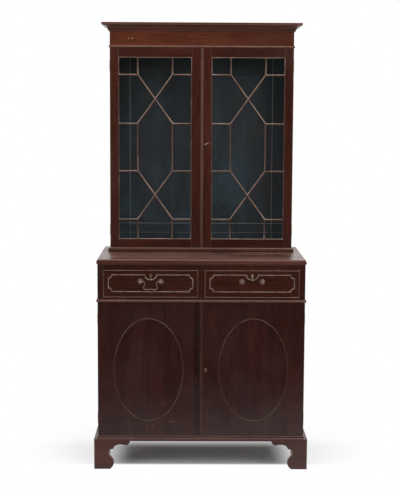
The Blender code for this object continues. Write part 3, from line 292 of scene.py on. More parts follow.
def arc(centre, radii, start, end, steps):
    """Points on an ellipse from one angle, in degrees, to another."""
    turns = [math.radians(start + (end - start) * index / steps) for index in range(steps + 1)]
    return [(centre[0] + radii[0] * math.cos(turn), centre[1] + radii[1] * math.sin(turn)) for turn in turns]


def run_round(profile, half, front):
    """A board whose moulded edge follows (proud, level) pairs round the front and both sides."""
    proud, level = profile[0]
    deselect()
    bpy.ops.mesh.primitive_plane_add(size=1, location=(0, (front - proud + BACK) / 2, level))
    obj = bpy.context.object
    bpy.ops.transform.resize(value=(2 * (half + proud), BACK - front + proud, 1))
    apply_place(obj)
    deep = BACK - front
    with editing(obj, "FACE"):
        for (here, low), (there, high) in zip(profile, profile[1:]):
            bpy.ops.mesh.extrude_region_move(TRANSFORM_OT_translate={"value": (0, 0, high - low)})
            bpy.ops.transform.resize(
                value=((half + there) / (half + here), (deep + there) / (deep + here), 1),
                center_override=(0, BACK, high),
            )
        pick("faces", lambda face: all_of(face, lambda co: abs(co.y - BACK) < NEAR))
        bpy.ops.mesh.delete(type="FACE")
        pick("edges", lambda edge: edge.is_boundary)
        bpy.ops.mesh.edge_face_add()
    return smooth(clean(obj), 32)


def oval_slab(centre, half, near, far, steps=128):
    """An oval board that faces the front, from its (x, z) centre and half sizes."""
    deselect()
    bpy.ops.mesh.primitive_cylinder_add(
        vertices=steps,
        radius=1,
        depth=far - near,
        location=(centre[0], (near + far) / 2, centre[1]),
        rotation=(math.pi / 2, 0, 0),
    )
    obj = bpy.context.object
    bpy.ops.transform.resize(value=(half[0], 1, half[1]))
    return apply_place(obj)


def hollow(obj, width):
    """Leaves only a rim of even width from a slab that faces the front."""
    with editing(obj):
        pick("faces", lambda face: abs(face.normal.y) > 0.99)
        bpy.ops.mesh.inset(thickness=width, depth=0)
        bpy.ops.mesh.delete(type="FACE")
        pick("edges", lambda edge: edge.is_boundary)
        bpy.ops.mesh.bridge_edge_loops()
    return clean(obj)


def round_nose(obj, front, width, segments=3):
    """Rounds the edges that lie in the front plane of a rim."""

    def on_front(edge):
        flat = all_of(edge, lambda co: abs(co.y - front) < NEAR)
        return flat and len({round(face.normal.y, 2) for face in edge.link_faces}) > 1

    return smooth(round_edges(obj, width, segments, on_front))


# Materials

WHITE = (1, 1, 1, 1)
GRAIN_TURNS = {"x": (0, 0, 0), "z": (0, math.pi / 2, 0), "y": (0, 0, math.pi / 2)}


def shade(key, factor=1.0):
    """One of the scene's colours, dimmed or raised, with a full alpha."""
    return (*(part * factor for part in getattr(bpy.context.scene.bookcase_colours, key)), 1.0)


class Web:
    """A node tree, and short ways to add nodes to it."""

    def __init__(self, tree):
        self.tree = tree

    def put(self, value, socket):
        if isinstance(value, bpy.types.NodeSocket):
            self.tree.links.new(value, socket)
        else:
            socket.default_value = value

    def node(self, kind, *inputs, named=None, **settings):
        """A node whose inputs are given in order, or by name or number."""
        made = self.tree.nodes.new("ShaderNode" + kind)
        for key, value in settings.items():
            setattr(made, key, value)
        for key, value in (*enumerate(inputs), *(named or {}).items()):
            self.put(value, made.inputs[key])
        return made

    def maths(self, operation, first, second=0.0, clamp=False):
        return self.node("Math", first, second, operation=operation, use_clamp=clamp).outputs[0]

    def times(self, first, second, clamp=False):
        return self.maths("MULTIPLY", first, second, clamp)

    def vector(self, operation, *inputs):
        return self.node("VectorMath", *inputs, operation=operation).outputs

    def remap(self, value, low, high, start=0.0, end=1.0, steps="LINEAR"):
        return self.node("MapRange", value, low, high, start, end, interpolation_type=steps).outputs[0]

    def mix(self, share, first, second):
        return self.node("Mix", named={0: share, 6: first, 7: second}, data_type="RGBA").outputs[2]

    def mapped(self, vector, **settings):
        return self.node("Mapping", vector, named=settings).outputs[0]

    def noise(self, vector, scale, detail=4.0, roughness=0.5, distortion=0.0):
        """Noise of one scale, or of three, one for each axis."""
        if isinstance(scale, tuple):
            vector, scale = self.mapped(vector, Scale=scale), 1.0
        values = {"Scale": scale, "Detail": detail, "Roughness": roughness, "Distortion": distortion}
        return self.node("TexNoise", vector, named=values).outputs[0]

    def bump(self, height, distance, strength):
        values = {"Height": height, "Distance": distance, "Strength": strength}
        return self.node("Bump", named=values).outputs[0]

    def apart(self, vector):
        return self.node("SeparateXYZ", vector).outputs

    def away(self, vector, centre, weights):
        """The distance from a centre, with each axis weighted."""
        offset = self.vector("MULTIPLY", self.vector("SUBTRACT", vector, centre)[0], weights)[0]
        return self.vector("LENGTH", offset)["Value"]

    def blend(self, share, first, second):
        return self.node("MixShader", share, first.outputs[0], second.outputs[0])

    def show(self, shader):
        self.put(shader.outputs[0], self.tree.nodes["Material Output"].inputs["Surface"])


def shared(name, outputs, **inputs):
    """Makes of a function a node group with named sockets, built once and placed with its own values."""

    def socket(tree, label, way, default):
        kind = {float: "Float", tuple: "Color"}.get(type(default), "Vector")
        made = tree.interface.new_socket(label, in_out=way, socket_type="NodeSocket" + kind)
        if default is not None:
            made.default_value = default

    def group(fill):
        tree = bpy.data.node_groups.new(name, "ShaderNodeTree")
        for label, default in inputs.items():
            socket(tree, label, "INPUT", default)
        for label, default in outputs.items():
            socket(tree, label, "OUTPUT", default)
        web = Web(tree)
        entry, leave = tree.nodes.new("NodeGroupInput"), tree.nodes.new("NodeGroupOutput")
        for label, value in zip(outputs, fill(web, *entry.outputs[:-1])):
            web.put(value, leave.inputs[label])
        return tree

    def wrap(fill):
        def placed(web, *values):
            made = web.tree.nodes.new("ShaderNodeGroup")
            made.node_tree = bpy.data.node_groups.get(name) or group(fill)
            for value, entry in zip(values, made.inputs):
                web.put(value, entry)
            return made.outputs

        return placed

    return wrap


@shared(
    "Timber Figure", {"Color": WHITE, "Sheen Change": 0.0, "Height": 0.0},
    Vector=None, Dark=WHITE, Light=WHITE, Pores=WHITE,
)
def timber_figure(web, vector, dark, light, pores):
    """Broad ribbons, fibres and pores that run along X of the given vector."""
    ribbons = web.noise(vector, (1.6, 15, 15), 5, 0.55, 0.6)
    clouds = web.noise(vector, (3.2, 6.5, 6.5), 3, 0.5, 0.3)
    fibres = web.noise(vector, (14, 420, 420), 3, 0.6)
    pored = web.remap(web.noise(vector, (70, 1500, 1500), 2, 0.5), 0.60, 0.68)
    share = web.maths("ADD", web.remap(ribbons, 0.32, 0.70, 0, 0.6), web.remap(clouds, 0.3, 0.7, 0, 0.4))
    lit = web.node(
        "VectorMath",
        named={0: web.mix(share, dark, light), 3: web.remap(fibres, 0.35, 0.65, 0.72, 1.18)},
        operation="SCALE",
    ).outputs[0]
    height = web.maths("SUBTRACT", web.times(fibres, 0.25), pored)
    return web.mix(web.times(pored, 0.55), lit, pores), clouds, height


@shared("Edge Wear", {"Mask": 0.0}, Vector=None, Width=0.002, Amount=0.4)
def edge_wear(web, vector, width, amount):
    """A broken mask along arrises, from the rounded normal."""
    rounded = web.node("Bevel", width, samples=4).outputs[0]
    turn = web.vector("DOT_PRODUCT", rounded, web.node("NewGeometry").outputs["Normal"])["Value"]
    breaks = web.noise(vector, 38, 5, 0.7)
    whole = web.remap(breaks, web.maths("SUBTRACT", 0.78, amount), 0.78)
    return (web.times(web.remap(turn, 0.995, 0.90), whole, True),)


@shared("Crest Wear", {"Mask": 0.0}, Vector=None, Across=0.0, Level=0.0, Half=0.001, Least=0.4)
def crest_wear_and_highlight(web, vector, across, level, half, least):
    """A broken pale line where a surface lies within Half of Level: rubbed polish and a painted highlight along
    the crest.
    """
    off = web.maths("ABSOLUTE", web.maths("SUBTRACT", across, level))
    whole = web.remap(web.noise(vector, 24, 5, 0.65), 0.30, 0.56, least, 1.0)
    return (web.times(web.remap(off, half, web.times(half, 0.5)), whole, True),)


@shared("Ledge Wear", {"Mask": 0.0}, Vector=None, Least=0.4)
def upward_highlight_mask(web, vector, least):
    """A broken mask on what faces half upwards: a painted highlight of the light from above, laid where dusters
    and dust also rub the polish.
    """
    rise = web.apart(web.node("NewGeometry").outputs["Normal"])["Z"]
    off = web.maths("ABSOLUTE", web.maths("SUBTRACT", rise, 0.5))
    whole = web.remap(web.noise(vector, 18, 5, 0.7), 0.34, 0.58, least, 1.0)
    return (web.times(web.remap(off, 0.42, 0.22), whole, True),)


@shared("Bare Spot", {"Mask": 0.0}, Vector=None, Place=None, Radius=0.004)
def bare_spot(web, vector, place, radius):
    """A ragged mask round one place, flattened along the depth."""
    ragged = web.times(web.noise(vector, 160, 3, 0.7), radius)
    edge = web.maths("ADD", web.away(vector, place, (1, 0, 1)), web.times(ragged, 1.6))
    half = web.times(radius, 1.5)
    return (web.remap(edge, half, web.times(half, 0.8)),)


@shared("Old Marks", {"Scratches": 0.0, "Bloom": 0.0}, Vector=None)
def old_marks(web, vector):
    """Fine scratches and a cloudy bloom left by years of use."""
    level = web.remap(web.noise(vector, (10, 10, 330), 2, 0.5, 0.4), 0.72, 0.76)
    upright = web.remap(web.noise(vector, (260, 260, 8), 2, 0.5, 0.4), 0.73, 0.77)
    where = web.remap(web.noise(vector, 9, 3, 0.6), 0.5, 0.62)
    scratches = web.times(web.maths("MAXIMUM", level, upright), where, True)
    return scratches, web.remap(web.noise(vector, 2.6, 4, 0.6), 0.38, 0.68)


def material(name, fill):
    """The material of that name, made on first use: its fill returns what its shader's sockets get."""
    made = bpy.data.materials.get(name)
    if not made:
        made = bpy.data.materials.new(name)
        made.use_nodes = True
        web = Web(made.node_tree)
        shader = made.node_tree.nodes["Principled BSDF"]
        place = web.node("TexCoord").outputs["Object"]
        for key, value in fill(web, place, shader).items():
            web.put(value, shader.inputs[key])
    return made


def polished_wood(
    name, colour, grain, wear=0.5, contrast=1.0, shine=0.16, worn="worn_edge", bloom=0.0, low_bloom_and_floor_reflection=None,
    marks=0.35, crests=(), least=0.45, ledge=0.0, spots=(), bands=(),
):
    """French-polished mahogany whose figure runs along one axis.

    Crests are (axis, level, half width, strength) of arrises rubbed pale and painted with a highlight, spots
    are (x, z, radius) of pale places, bare or painted highlights, and bands are (axis, from, to, share of the
    colour that is left). A low bloom, partly a painted reflection of the pale floor, grows from the first of
    its two levels down to the second.
    """

    def fill(web, place, shader):
        apart = web.apart(place)
        shades = (shade(colour, 1 - 0.42 * contrast), shade(colour, 1 + 0.50 * contrast), shade(colour, 0.35))
        figure = timber_figure(web, web.mapped(place, Rotation=GRAIN_TURNS[grain]), *shades)
        left = old_marks(web, place)
        base = figure["Color"]
        for axis, start, end, share in bands:
            past_start = web.remap(apart[axis], start, start + 0.002)
            inside = web.times(past_start, web.remap(apart[axis], end + 0.002, end))
            base = web.mix(web.times(inside, 1 - share), base, shade(colour, 0.2))
        if bloom:
            haze = web.times(left["Bloom"], bloom)
            # Lower down the haze grows: bloom, and a painted reflection of the pale floor
            if low_bloom_and_floor_reflection:
                haze = web.times(haze, web.remap(apart["Z"], *low_bloom_and_floor_reflection, 0.1, 1.0))
            base = web.mix(haze, base, shade("bloom"))
        masks = [(edge_wear(web, place, 0.0022, wear)[0], 0.8), (left["Scratches"], marks)]
        # Crests: rubbed polish and a painted highlight along each crest
        for axis, level, half, strength in crests:
            masks.append((crest_wear_and_highlight(web, place, apart[axis], level, half, least)[0], strength))
        # Painted highlight: what faces half upwards turns pale as if lit from above, with some rubbed polish
        if ledge:
            masks.append((upward_highlight_mask(web, place, least)[0], ledge))
        for x, z, radius in spots:
            masks.append((bare_spot(web, place, (x, 0, z), radius)[0], 0.9))
        # Each mask turns the wood towards the worn colour: rubbed wear, and painted highlights where the masks
        # follow the light
        for mask, share in masks:
            base = web.mix(web.times(mask, share), base, shade(worn))
        cloudy = web.remap(figure["Sheen Change"], 0.3, 0.7, shine, shine + 0.12)
        rough = web.maths("ADD", cloudy, web.times(left["Scratches"], 0.2))
        return {"Base Color": base, "Roughness": rough, "Normal": web.bump(figure["Height"], 0.00012, 0.5)}

    return material(f"{name}_{grain}", fill)


def board_wood(part, grain):
    """The finish of the plain boards of the lower case, the upper case or the drawers."""
    return polished_wood(f"{part}_mahogany", f"{part}_wood", grain, bloom=0.2 if part == "lower" else 0.0)


def moulding_wood(name, *crests, grain="x", **more):
    return polished_wood(name, "moulding_wood", grain, wear=0.65, crests=crests, **more)


def raw_pine(grain):
    """Unpolished deal, greyed by dust, with growth rings that change from plank to plank."""

    def fill(web, place, shader):
        along = web.mapped(place, Rotation=GRAIN_TURNS[grain])
        apart = web.apart(along)
        plank = web.maths("FLOOR", web.maths("DIVIDE", web.maths("ADD", apart["Y"], apart["Z"]), 0.19))
        shift = web.node("TexWhiteNoise", named={"W": plank}, noise_dimensions="1D").outputs
        moved = web.vector("MULTIPLY_ADD", shift["Color"], shift["Color"], along)[0]
        bent = web.noise(moved, (0.42, 4.2, 4.2), 1, 0.4)
        fine = web.noise(moved, (3, 60, 60), 3, 0.6)
        rings = web.maths("FRACT", web.maths("ADD", web.times(bent, 26.0), web.times(fine, 0.7)))
        fibres = web.noise(along, (10, 500, 500), 3, 0.6)
        dirt = web.noise(place, 4.5, 5, 0.65)
        late = web.times(web.remap(rings, 0.35, 0.90), web.remap(rings, 1.0, 0.93))
        base = shade("pine")
        for mask, factor in (
            (web.times(late, 0.8), 0.55),
            (web.times(shift["Value"], 0.45), 0.45),
            (web.remap(fibres, 0.3, 0.7, 0.0, 0.35), 0.4),
            (web.remap(dirt, 0.45, 0.75, 0.0, 0.6), 0.25),
        ):
            base = web.mix(mask, base, shade("pine", factor))
        rough = web.remap(dirt, 0.3, 0.7, 0.72, 0.9)
        return {"Base Color": base, "Roughness": rough, "Normal": web.bump(fibres, 0.0003, 0.6)}

    return material(f"pine_{grain}", fill)


def blue_paint(rubbed_and_lit_lines):
    """Old distemper inside the upper case: rubbed thin on the arrises, pale along (axis, level, half) lines of
    rubbed paint and painted highlight, and painted darker towards the top as shade.
    """

    def fill(web, place, shader):
        apart = web.apart(place)
        cloud = web.noise(place, (7.5, 7.5, 4.5), 6, 0.65, 0.6)
        streaks = web.noise(place, (30, 30, 3), 4, 0.6)
        flakes = web.noise(place, 48, 5, 0.75)
        hue = web.noise(place, 2.1, 2, 0.5)
        base = web.mix(web.remap(cloud, 0.36, 0.66), shade("paint", 0.05), shade("paint", 3.5))
        layers = [
            (web.remap(hue, 0.42, 0.58, 0, 0.75), shade("paint_shade")),
            (web.remap(streaks, 0.50, 0.70, 0, 0.45), shade("paint", 3.6)),
            (web.times(edge_wear(web, place, 0.003, 0.6)[0], 0.7), shade("worn_paint")),
            # Painted shade: the paint darkens towards the top, as in the shadow under the frieze
            (web.remap(apart["Z"], 1.62, 2.05, 0.0, 0.85), shade("paint", 0.15)),
        ]
        # Pale lines: rubbed paint and a painted highlight along the frame's arrises
        for axis, level, half in rubbed_and_lit_lines:
            line = crest_wear_and_highlight(web, place, apart[axis], level, half, 0.5)[0]
            layers.append((web.times(line, 0.9), shade("worn_paint")))
        layers.append((web.remap(flakes, 0.70, 0.78, 0, 0.6), shade("worn_paint")))
        for mask, colour in layers:
            base = web.mix(mask, base, colour)
        rough = web.remap(cloud, 0.3, 0.7, 0.5, 0.75)
        return {"Base Color": base, "Roughness": rough, "Normal": web.bump(streaks, 0.0004, 0.5)}

    return material("interior_paint", fill)


def old_metal(name, colour, rough, tarnish="brass_tarnish", hole=None, handled_and_lit=None):
    """Metal with a broken patina, and painted shade on what lies behind a keyhole whose (x, depth, z) is given.

    The (depth, colour) pair for handled knobs: what stands in front of that depth is painted bright, handled
    brass with a painted highlight.
    """

    def fill(web, place, shader):
        depth = web.apart(place)["Y"]
        spots = web.noise(place, 210, 5, 0.65)
        cloud = web.noise(place, 60, 3, 0.5)
        base = web.mix(web.remap(spots, 0.45, 0.68), shade(colour), shade(tarnish))
        base = web.mix(web.remap(cloud, 0.4, 0.7, 0, 0.5), base, shade(tarnish, 0.6))
        metallic = web.remap(spots, 0.45, 0.68, 0.75, 0.35)
        # Painted highlight: the knobs' fronts are brightened, as handled brass that catches the light
        if handled_and_lit:
            front, bright = handled_and_lit
            in_front = web.remap(depth, front + 0.003, front - 0.002)
            base = web.mix(web.times(in_front, 0.85), base, shade(bright))
        # Painted shade: the lock's metal seen through the keyhole is painted nearly black, as no light reaches
        # it
        if hole:
            x, front, z = hole
            near_axis = web.remap(web.away(place, (x, 0, z - 0.002), (1, 0, 1)), 0.0092, 0.0085)
            inside = web.times(near_axis, web.remap(depth, front - 0.0006, front - 0.0002))
            dark = web.times(inside, web.remap(depth, front + 0.0305, front + 0.0300))
            base = web.mix(dark, base, (0.004, 0.003, 0.003, 1))
            metallic = web.times(metallic, web.maths("SUBTRACT", 1.0, dark))
        rough_spots = web.remap(spots, 0.3, 0.7, rough, rough + 0.3)
        bump = web.bump(spots, 0.00015, 0.4)
        return {"Base Color": base, "Roughness": rough_spots, "Metallic": metallic, "Normal": bump}

    return material(name, fill)


def brass():
    return old_metal("old_brass", "brass", 0.3)


def brown_brass():
    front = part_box("left_drawer_bail")[0].y
    return old_metal("handled_brass", "handle_brass", 0.34, handled_and_lit=(front, "knob_brass"))


def steel():
    return old_metal("old_steel", "steel", 0.35, "steel_tarnish")


def window_glass():
    """Drawn glass, a little uneven, which lets the lamps through."""

    def fill(web, place, shader):
        lamp_ray = web.node("LightPath").outputs["Is Shadow Ray"]
        web.show(web.blend(lamp_ray, shader, web.node("BsdfTransparent", (0.86, 0.9, 0.9, 1))))
        wave = web.noise(place, (7, 7, 4), 0, 0.0)
        values = {"Transmission Weight": 1.0, "IOR": 1.45, "Roughness": 0.0}
        return {"Base Color": shade("glass"), "Normal": web.bump(wave, 0.001, 0.3), **values}

    return material("window_glass", fill)


def background_rays(web):
    """Masks of the rays that show the background: the camera's, also through glass, and the mirrored ones."""
    paths = web.node("LightPath").outputs
    undimmed = web.maths("LESS_THAN", paths["Diffuse Depth"], 0.5)
    unturned = web.maths("LESS_THAN", paths["Glossy Depth"], 0.5)
    through = web.times(paths["Is Transmission Ray"], web.times(unturned, undimmed))
    either = web.maths("MAXIMUM", paths["Is Transmission Ray"], paths["Is Glossy Ray"])
    mirrored = web.times(either, web.maths("SUBTRACT", undimmed, through, True))
    return web.maths("MAXIMUM", paths["Is Camera Ray"], through), mirrored


def coat(obj, finish):
    """Gives every face of a piece one material."""
    obj.data.materials.clear()
    obj.data.materials.append(finish)
    return obj


def settle(obj, name, body, slot, *solids):
    """Names a finished piece, hangs it on its body, and hides the solids that it stands for; its slot is not
    used.
    """
    obj.name = obj.data.name = name
    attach(obj, body)
    if solids:
        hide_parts(*solids)


# Sizes and colours that a user may change


def length(label, text, default):
    return bpy.props.FloatProperty(
        name=label, description=text, default=default, min=0.0, unit="LENGTH", subtype="DISTANCE"
    )


def colour(label, text, default):
    return bpy.props.FloatVectorProperty(
        name=label, description=text, default=default, min=0.0, max=1.0, size=3, subtype="COLOR"
    )


class BookcaseSizes(bpy.types.PropertyGroup):
    arris: length("Arris", "Rounding of the boards' edges", 0.0009)
    bar_half: length("Bar half width", "Half the width of a glazing bar", 0.0037)
    bar_nose: length("Bar nose", "Rounding of a glazing bar's front edges", 0.0030)
    oval_bead: length("Oval bead", "Width of the bead round each oval panel", 0.0042)
    cock_bead: length("Cock bead", "Width of the bead round each drawer", 0.0036)
    knuckle: length("Hinge knuckle", "Radius of the hinges' knuckles", 0.0028)


class BookcaseColours(bpy.types.PropertyGroup):
    lower_wood: colour("Lower wood", "Mahogany of the cupboard base", (0.0262, 0.0053, 0.0035))
    panel_wood: colour("Panel wood", "Mahogany of the oval panels", (0.0265, 0.0050, 0.0038))
    drawer_wood: colour("Drawer wood", "Mahogany of the drawers and their rails", (0.0330, 0.0074, 0.0030))
    foot_wood: colour("Foot wood", "Mahogany of the feet", (0.0500, 0.0115, 0.0078))
    # Top wood and edge wood are lit and shaded copies of the top's mahogany: painted light
    lit_top_wood: colour("Top wood", "Mahogany of the moulded top", (0.092, 0.042, 0.031))
    shaded_edge_wood: colour("Edge wood", "Moulded edge of the top", (0.062, 0.0120, 0.0055))
    upper_wood: colour("Upper wood", "Mahogany of the glazed doors", (0.0405, 0.0088, 0.0046))
    frieze_wood: colour("Frieze wood", "Mahogany of the frieze", (0.084, 0.0195, 0.0078))
    moulding_wood: colour("Moulding wood", "Mahogany of the mouldings", (0.060, 0.0185, 0.0105))
    worn_edge: colour("Worn edge", "Wood laid bare on the arrises", (0.27, 0.145, 0.095))
    red_crest: colour("Red crest", "Crests of the cock beads", (0.30, 0.155, 0.11))
    # Rubbed red: worn wood with a painted glow of light on the top's lip
    rubbed_and_lit_red: colour("Rubbed red", "Red wood that shows on rubbed edges", (0.105, 0.034, 0.024))
    # Bar crest: pale wear with a painted highlight from the light above
    bar_crest_highlight: colour("Bar crest", "Crests of the glazing bars, rubbed pale", (0.58, 0.44, 0.35))
    bloom: colour("Bloom", "Haze on the old polish", (0.060, 0.045, 0.042))
    pine: colour("Pine", "Wood inside the drawers and behind the cases", (0.36, 0.22, 0.11))
    paint: colour("Paint", "Paint inside the upper case", (0.0058, 0.0108, 0.0152))
    paint_shade: colour("Paint shade", "Browner patches of the paint", (0.0135, 0.0095, 0.0125))
    worn_paint: colour("Worn paint", "Pale ground under the paint", (0.16, 0.16, 0.14))
    brass: colour("Brass", "Hinges and keyholes", (0.58, 0.43, 0.27))
    handle_brass: colour("Handle brass", "Browned brass of the handles", (0.19, 0.115, 0.098))
    # Knob brass: handled brass, painted brighter as a highlight
    knob_brass: colour("Knob brass", "Handled knobs of the roses", (0.38, 0.255, 0.21))
    brass_tarnish: colour("Brass tarnish", "Dark patina on the brass", (0.13, 0.08, 0.06))
    steel: colour("Steel", "Keys and bolts", (0.50, 0.42, 0.36))
    steel_tarnish: colour("Steel tarnish", "Rust on the keys", (0.10, 0.07, 0.05))
    glass: colour("Glass", "Tint of the panes", (0.90, 0.95, 0.95))
    floor: colour("Floor", "Studio floor", (0.80, 0.80, 0.81))


# Fittings let into the boards


class Hinge:
    """The place of one butt hinge, read from its solid on the case."""

    # How far the leaf runs from the pin, its thickness, and half the gap between the two leaves
    width = 0.016
    leaf = 0.0012
    gap = 0.0005
    # Radius of the recess for the knuckles, how far the recess opens outwards, and the pin's place in the solid
    reach = 0.0032
    opening = 0.004
    inset = 0.0028

    def __init__(self, case, label, level):
        self.node = f"{case}_{label}_hinge_{level}"
        self.name = f"{case}_{label}_{level}"
        self.body = f"{case}_{label}_door"
        self.side = dict(SIDES)[label]
        low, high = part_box(self.node)
        self.low, self.high = low.z, high.z
        self.depth = (low.y + high.y) / 2
        self.x = (high.x if self.side > 0 else low.x) - self.side * self.inset

    def cut(self, board, toward):
        """Sinks one leaf, with a round recess for the knuckles, behind (1) or in front of (-1) the pin."""
        bottom, top = self.low - SEAT, self.high + SEAT
        carve(board, rod((self.x, self.depth, bottom), (self.x, self.depth, top), self.reach, 32))
        inner = self.x - self.side * (self.width + SEAT)
        left, right = sorted((inner, self.x + self.side * self.opening))
        near, far = sorted((self.depth, self.depth + toward * (self.gap + self.leaf + SEAT)))
        carve(board, block((left, near, bottom), (right, far, top)))


def hinges_of(case, label):
    return [Hinge(case, label, level) for level in ("bottom", "top")]


def keyhole_room(centre, near, far, growth):
    """A round hole with a slot below it, to be carved from a board."""
    x, z = centre
    radius, half = 0.0026 + growth, 0.0012 + growth
    hole = rod((x, near, z), (x, far, z), radius, 32)
    return carve(hole, block((x - half, near, z - 0.0085 - growth), (x + half, far, z)), "UNION")


def lock_centre(lock):
    """The keyhole's place, read from the lock's case, well inside the edge that the bolt leaves by."""
    low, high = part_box(lock)
    inside = 0.024
    if "door" in lock:
        return low.x + inside, (low.z + high.z) / 2
    return (low.x + high.x) / 2, high.z - inside


def cut_keyhole(board, lock, face, depth):
    carve(board, keyhole_room(lock_centre(lock), face - OVERRUN, face + depth + OVERRUN, KEYHOLE_PLAY))


def screw_at(place, facing, radius=0.0026):
    """A slotted screw head that stands a little proud of the plate it holds."""
    crown = [(0.0, 0.0), (0.0, radius), (facing * 0.00025, radius * 0.9), (facing * 0.0004, 0.0)]
    across = Vector((radius * 2, 0.0006, 0.0006))
    return carve(turned(place, crown, 20), block(Vector(place) - across, Vector(place) + across))


# Operators, one for each group of pieces


class BookcaseOperator:
    """What all builders share: they build with the scene's sizes and leave nothing selected."""

    bl_options = {"REGISTER", "UNDO"}

    def execute(self, context):
        self.build(context.scene.bookcase_sizes)
        deselect()
        return {"FINISHED"}


class BOOKCASE_OT_stage(BookcaseOperator, bpy.types.Operator):
    """Floor, lamps, surroundings and camera"""

    bl_idname = "bookcase.stage"
    bl_label = "Stage"

    def build(self, sizes):
        bpy.context.scene.view_settings.view_transform = "Standard"
        self.floor()
        self.lamp("key_lamp", (2.5, -3.3, 3.3), (0, 0, 0.9), 2.2, 2.0, 88)
        self.lamp("fill_lamp", (-3.2, -3.4, 2.0), (0, 0, 1.0), 2.4, 2.8, 46)
        self.lamp("top_lamp", (0.0, -0.6, 4.8), (0, -0.3, 0.0), 3.6, 3.0, 150)
        self.air()
        self.camera()

    def floor(self):
        deselect()
        bpy.ops.mesh.primitive_plane_add(size=60, location=(0, 0, 0))
        floor = apply_place(bpy.context.object)
        floor.name = "studio_floor"
        coat(floor, material("studio_floor", self.floor_finish))

    @staticmethod
    def floor_finish(web, place, shader):
        """A pale floor that keeps the shadow near the feet and fades to white further off."""
        apart = web.apart(place)
        depth = apart["Y"]
        kept = 1.0
        for value, start, end, most in (
            (web.away(place, (0, 0.12, 0), (0.85, 1, 0)), 0.40, 0.85, 1.0),
            (depth, -0.178, -0.214, 1.0),
            (depth, 0.09, 0.30, 0.62),
            (web.maths("ABSOLUTE", apart["X"]), 0.34, 0.54, 0.62),
        ):
            kept = web.times(kept, web.remap(value, start, end, 1.0, 1.0 - most, "SMOOTHSTEP"))
        fade = web.maths("SUBTRACT", 1.0, kept)
        straight, bent = background_rays(web)
        mirrored = web.remap(depth, -2.0, 0.4, 0.055, 1.0)
        level = web.node("Mix", named={0: bent, 2: 1.0, 3: mirrored}).outputs[0]
        share = web.maths("MAXIMUM", web.times(straight, fade), bent)
        web.show(web.blend(share, shader, web.node("Emission", WHITE, level)))
        base = web.mix(web.noise(place, 0.7, 2), shade("floor", 0.99), shade("floor", 1.01))
        return {"Base Color": base, "Roughness": 0.7, "Specular IOR Level": 0.2}

    def air(self):
        """White behind the bookcase, and a dim room on the camera's side for the polish to mirror."""
        world = bpy.data.worlds.new("studio_air")
        bpy.context.scene.world = world
        world.use_nodes = True
        web = Web(world.node_tree)
        web.tree.nodes.clear()
        heading = web.apart(web.node("TexCoord").outputs["Generated"])
        behind = web.remap(heading["Y"], -0.35, 0.45, steps="SMOOTHSTEP")
        straight, bent = background_rays(web)
        room, white, air = (web.node("Background", WHITE, strength) for strength in (0.042, 1.0, 0.38))
        polish = web.blend(bent, air, web.blend(behind, room, white))
        leave = web.node("OutputWorld")
        web.put(web.blend(straight, polish, white).outputs[0], leave.inputs["Surface"])

    def lamp(self, name, place, target, wide, high, power):
        """A rectangular lamp, in watts, that looks at its target."""
        deselect()
        turn = (Vector(target) - Vector(place)).to_track_quat("-Z", "Y").to_euler()
        bpy.ops.object.light_add(type="AREA", location=place, rotation=turn)
        lamp = bpy.context.object
        lamp.name = name
        lamp.data.shape = "RECTANGLE"
        lamp.data.size, lamp.data.size_y = wide, high
        lamp.data.energy = power

    def camera(self):
        """The view of the photograph."""
        focal_pixels, frame_pixels, sensor = 1200, 490, 36
        pitch, yaw, roll = 0.1135, 0.0086, 0.0048
        turn = Euler((math.pi / 2 - pitch, 0, -yaw)).to_matrix() @ Matrix.Rotation(roll, 3, "Z")
        deselect()
        bpy.ops.object.camera_add(location=(-0.0577, -6.052, 1.774), rotation=turn.to_euler())
        camera = bpy.context.object
        camera.name = "studio_camera"
        camera.data.sensor_width = sensor
        camera.data.lens = focal_pixels / frame_pixels * sensor
        camera.data.clip_end = 60
        bpy.context.scene.camera = camera


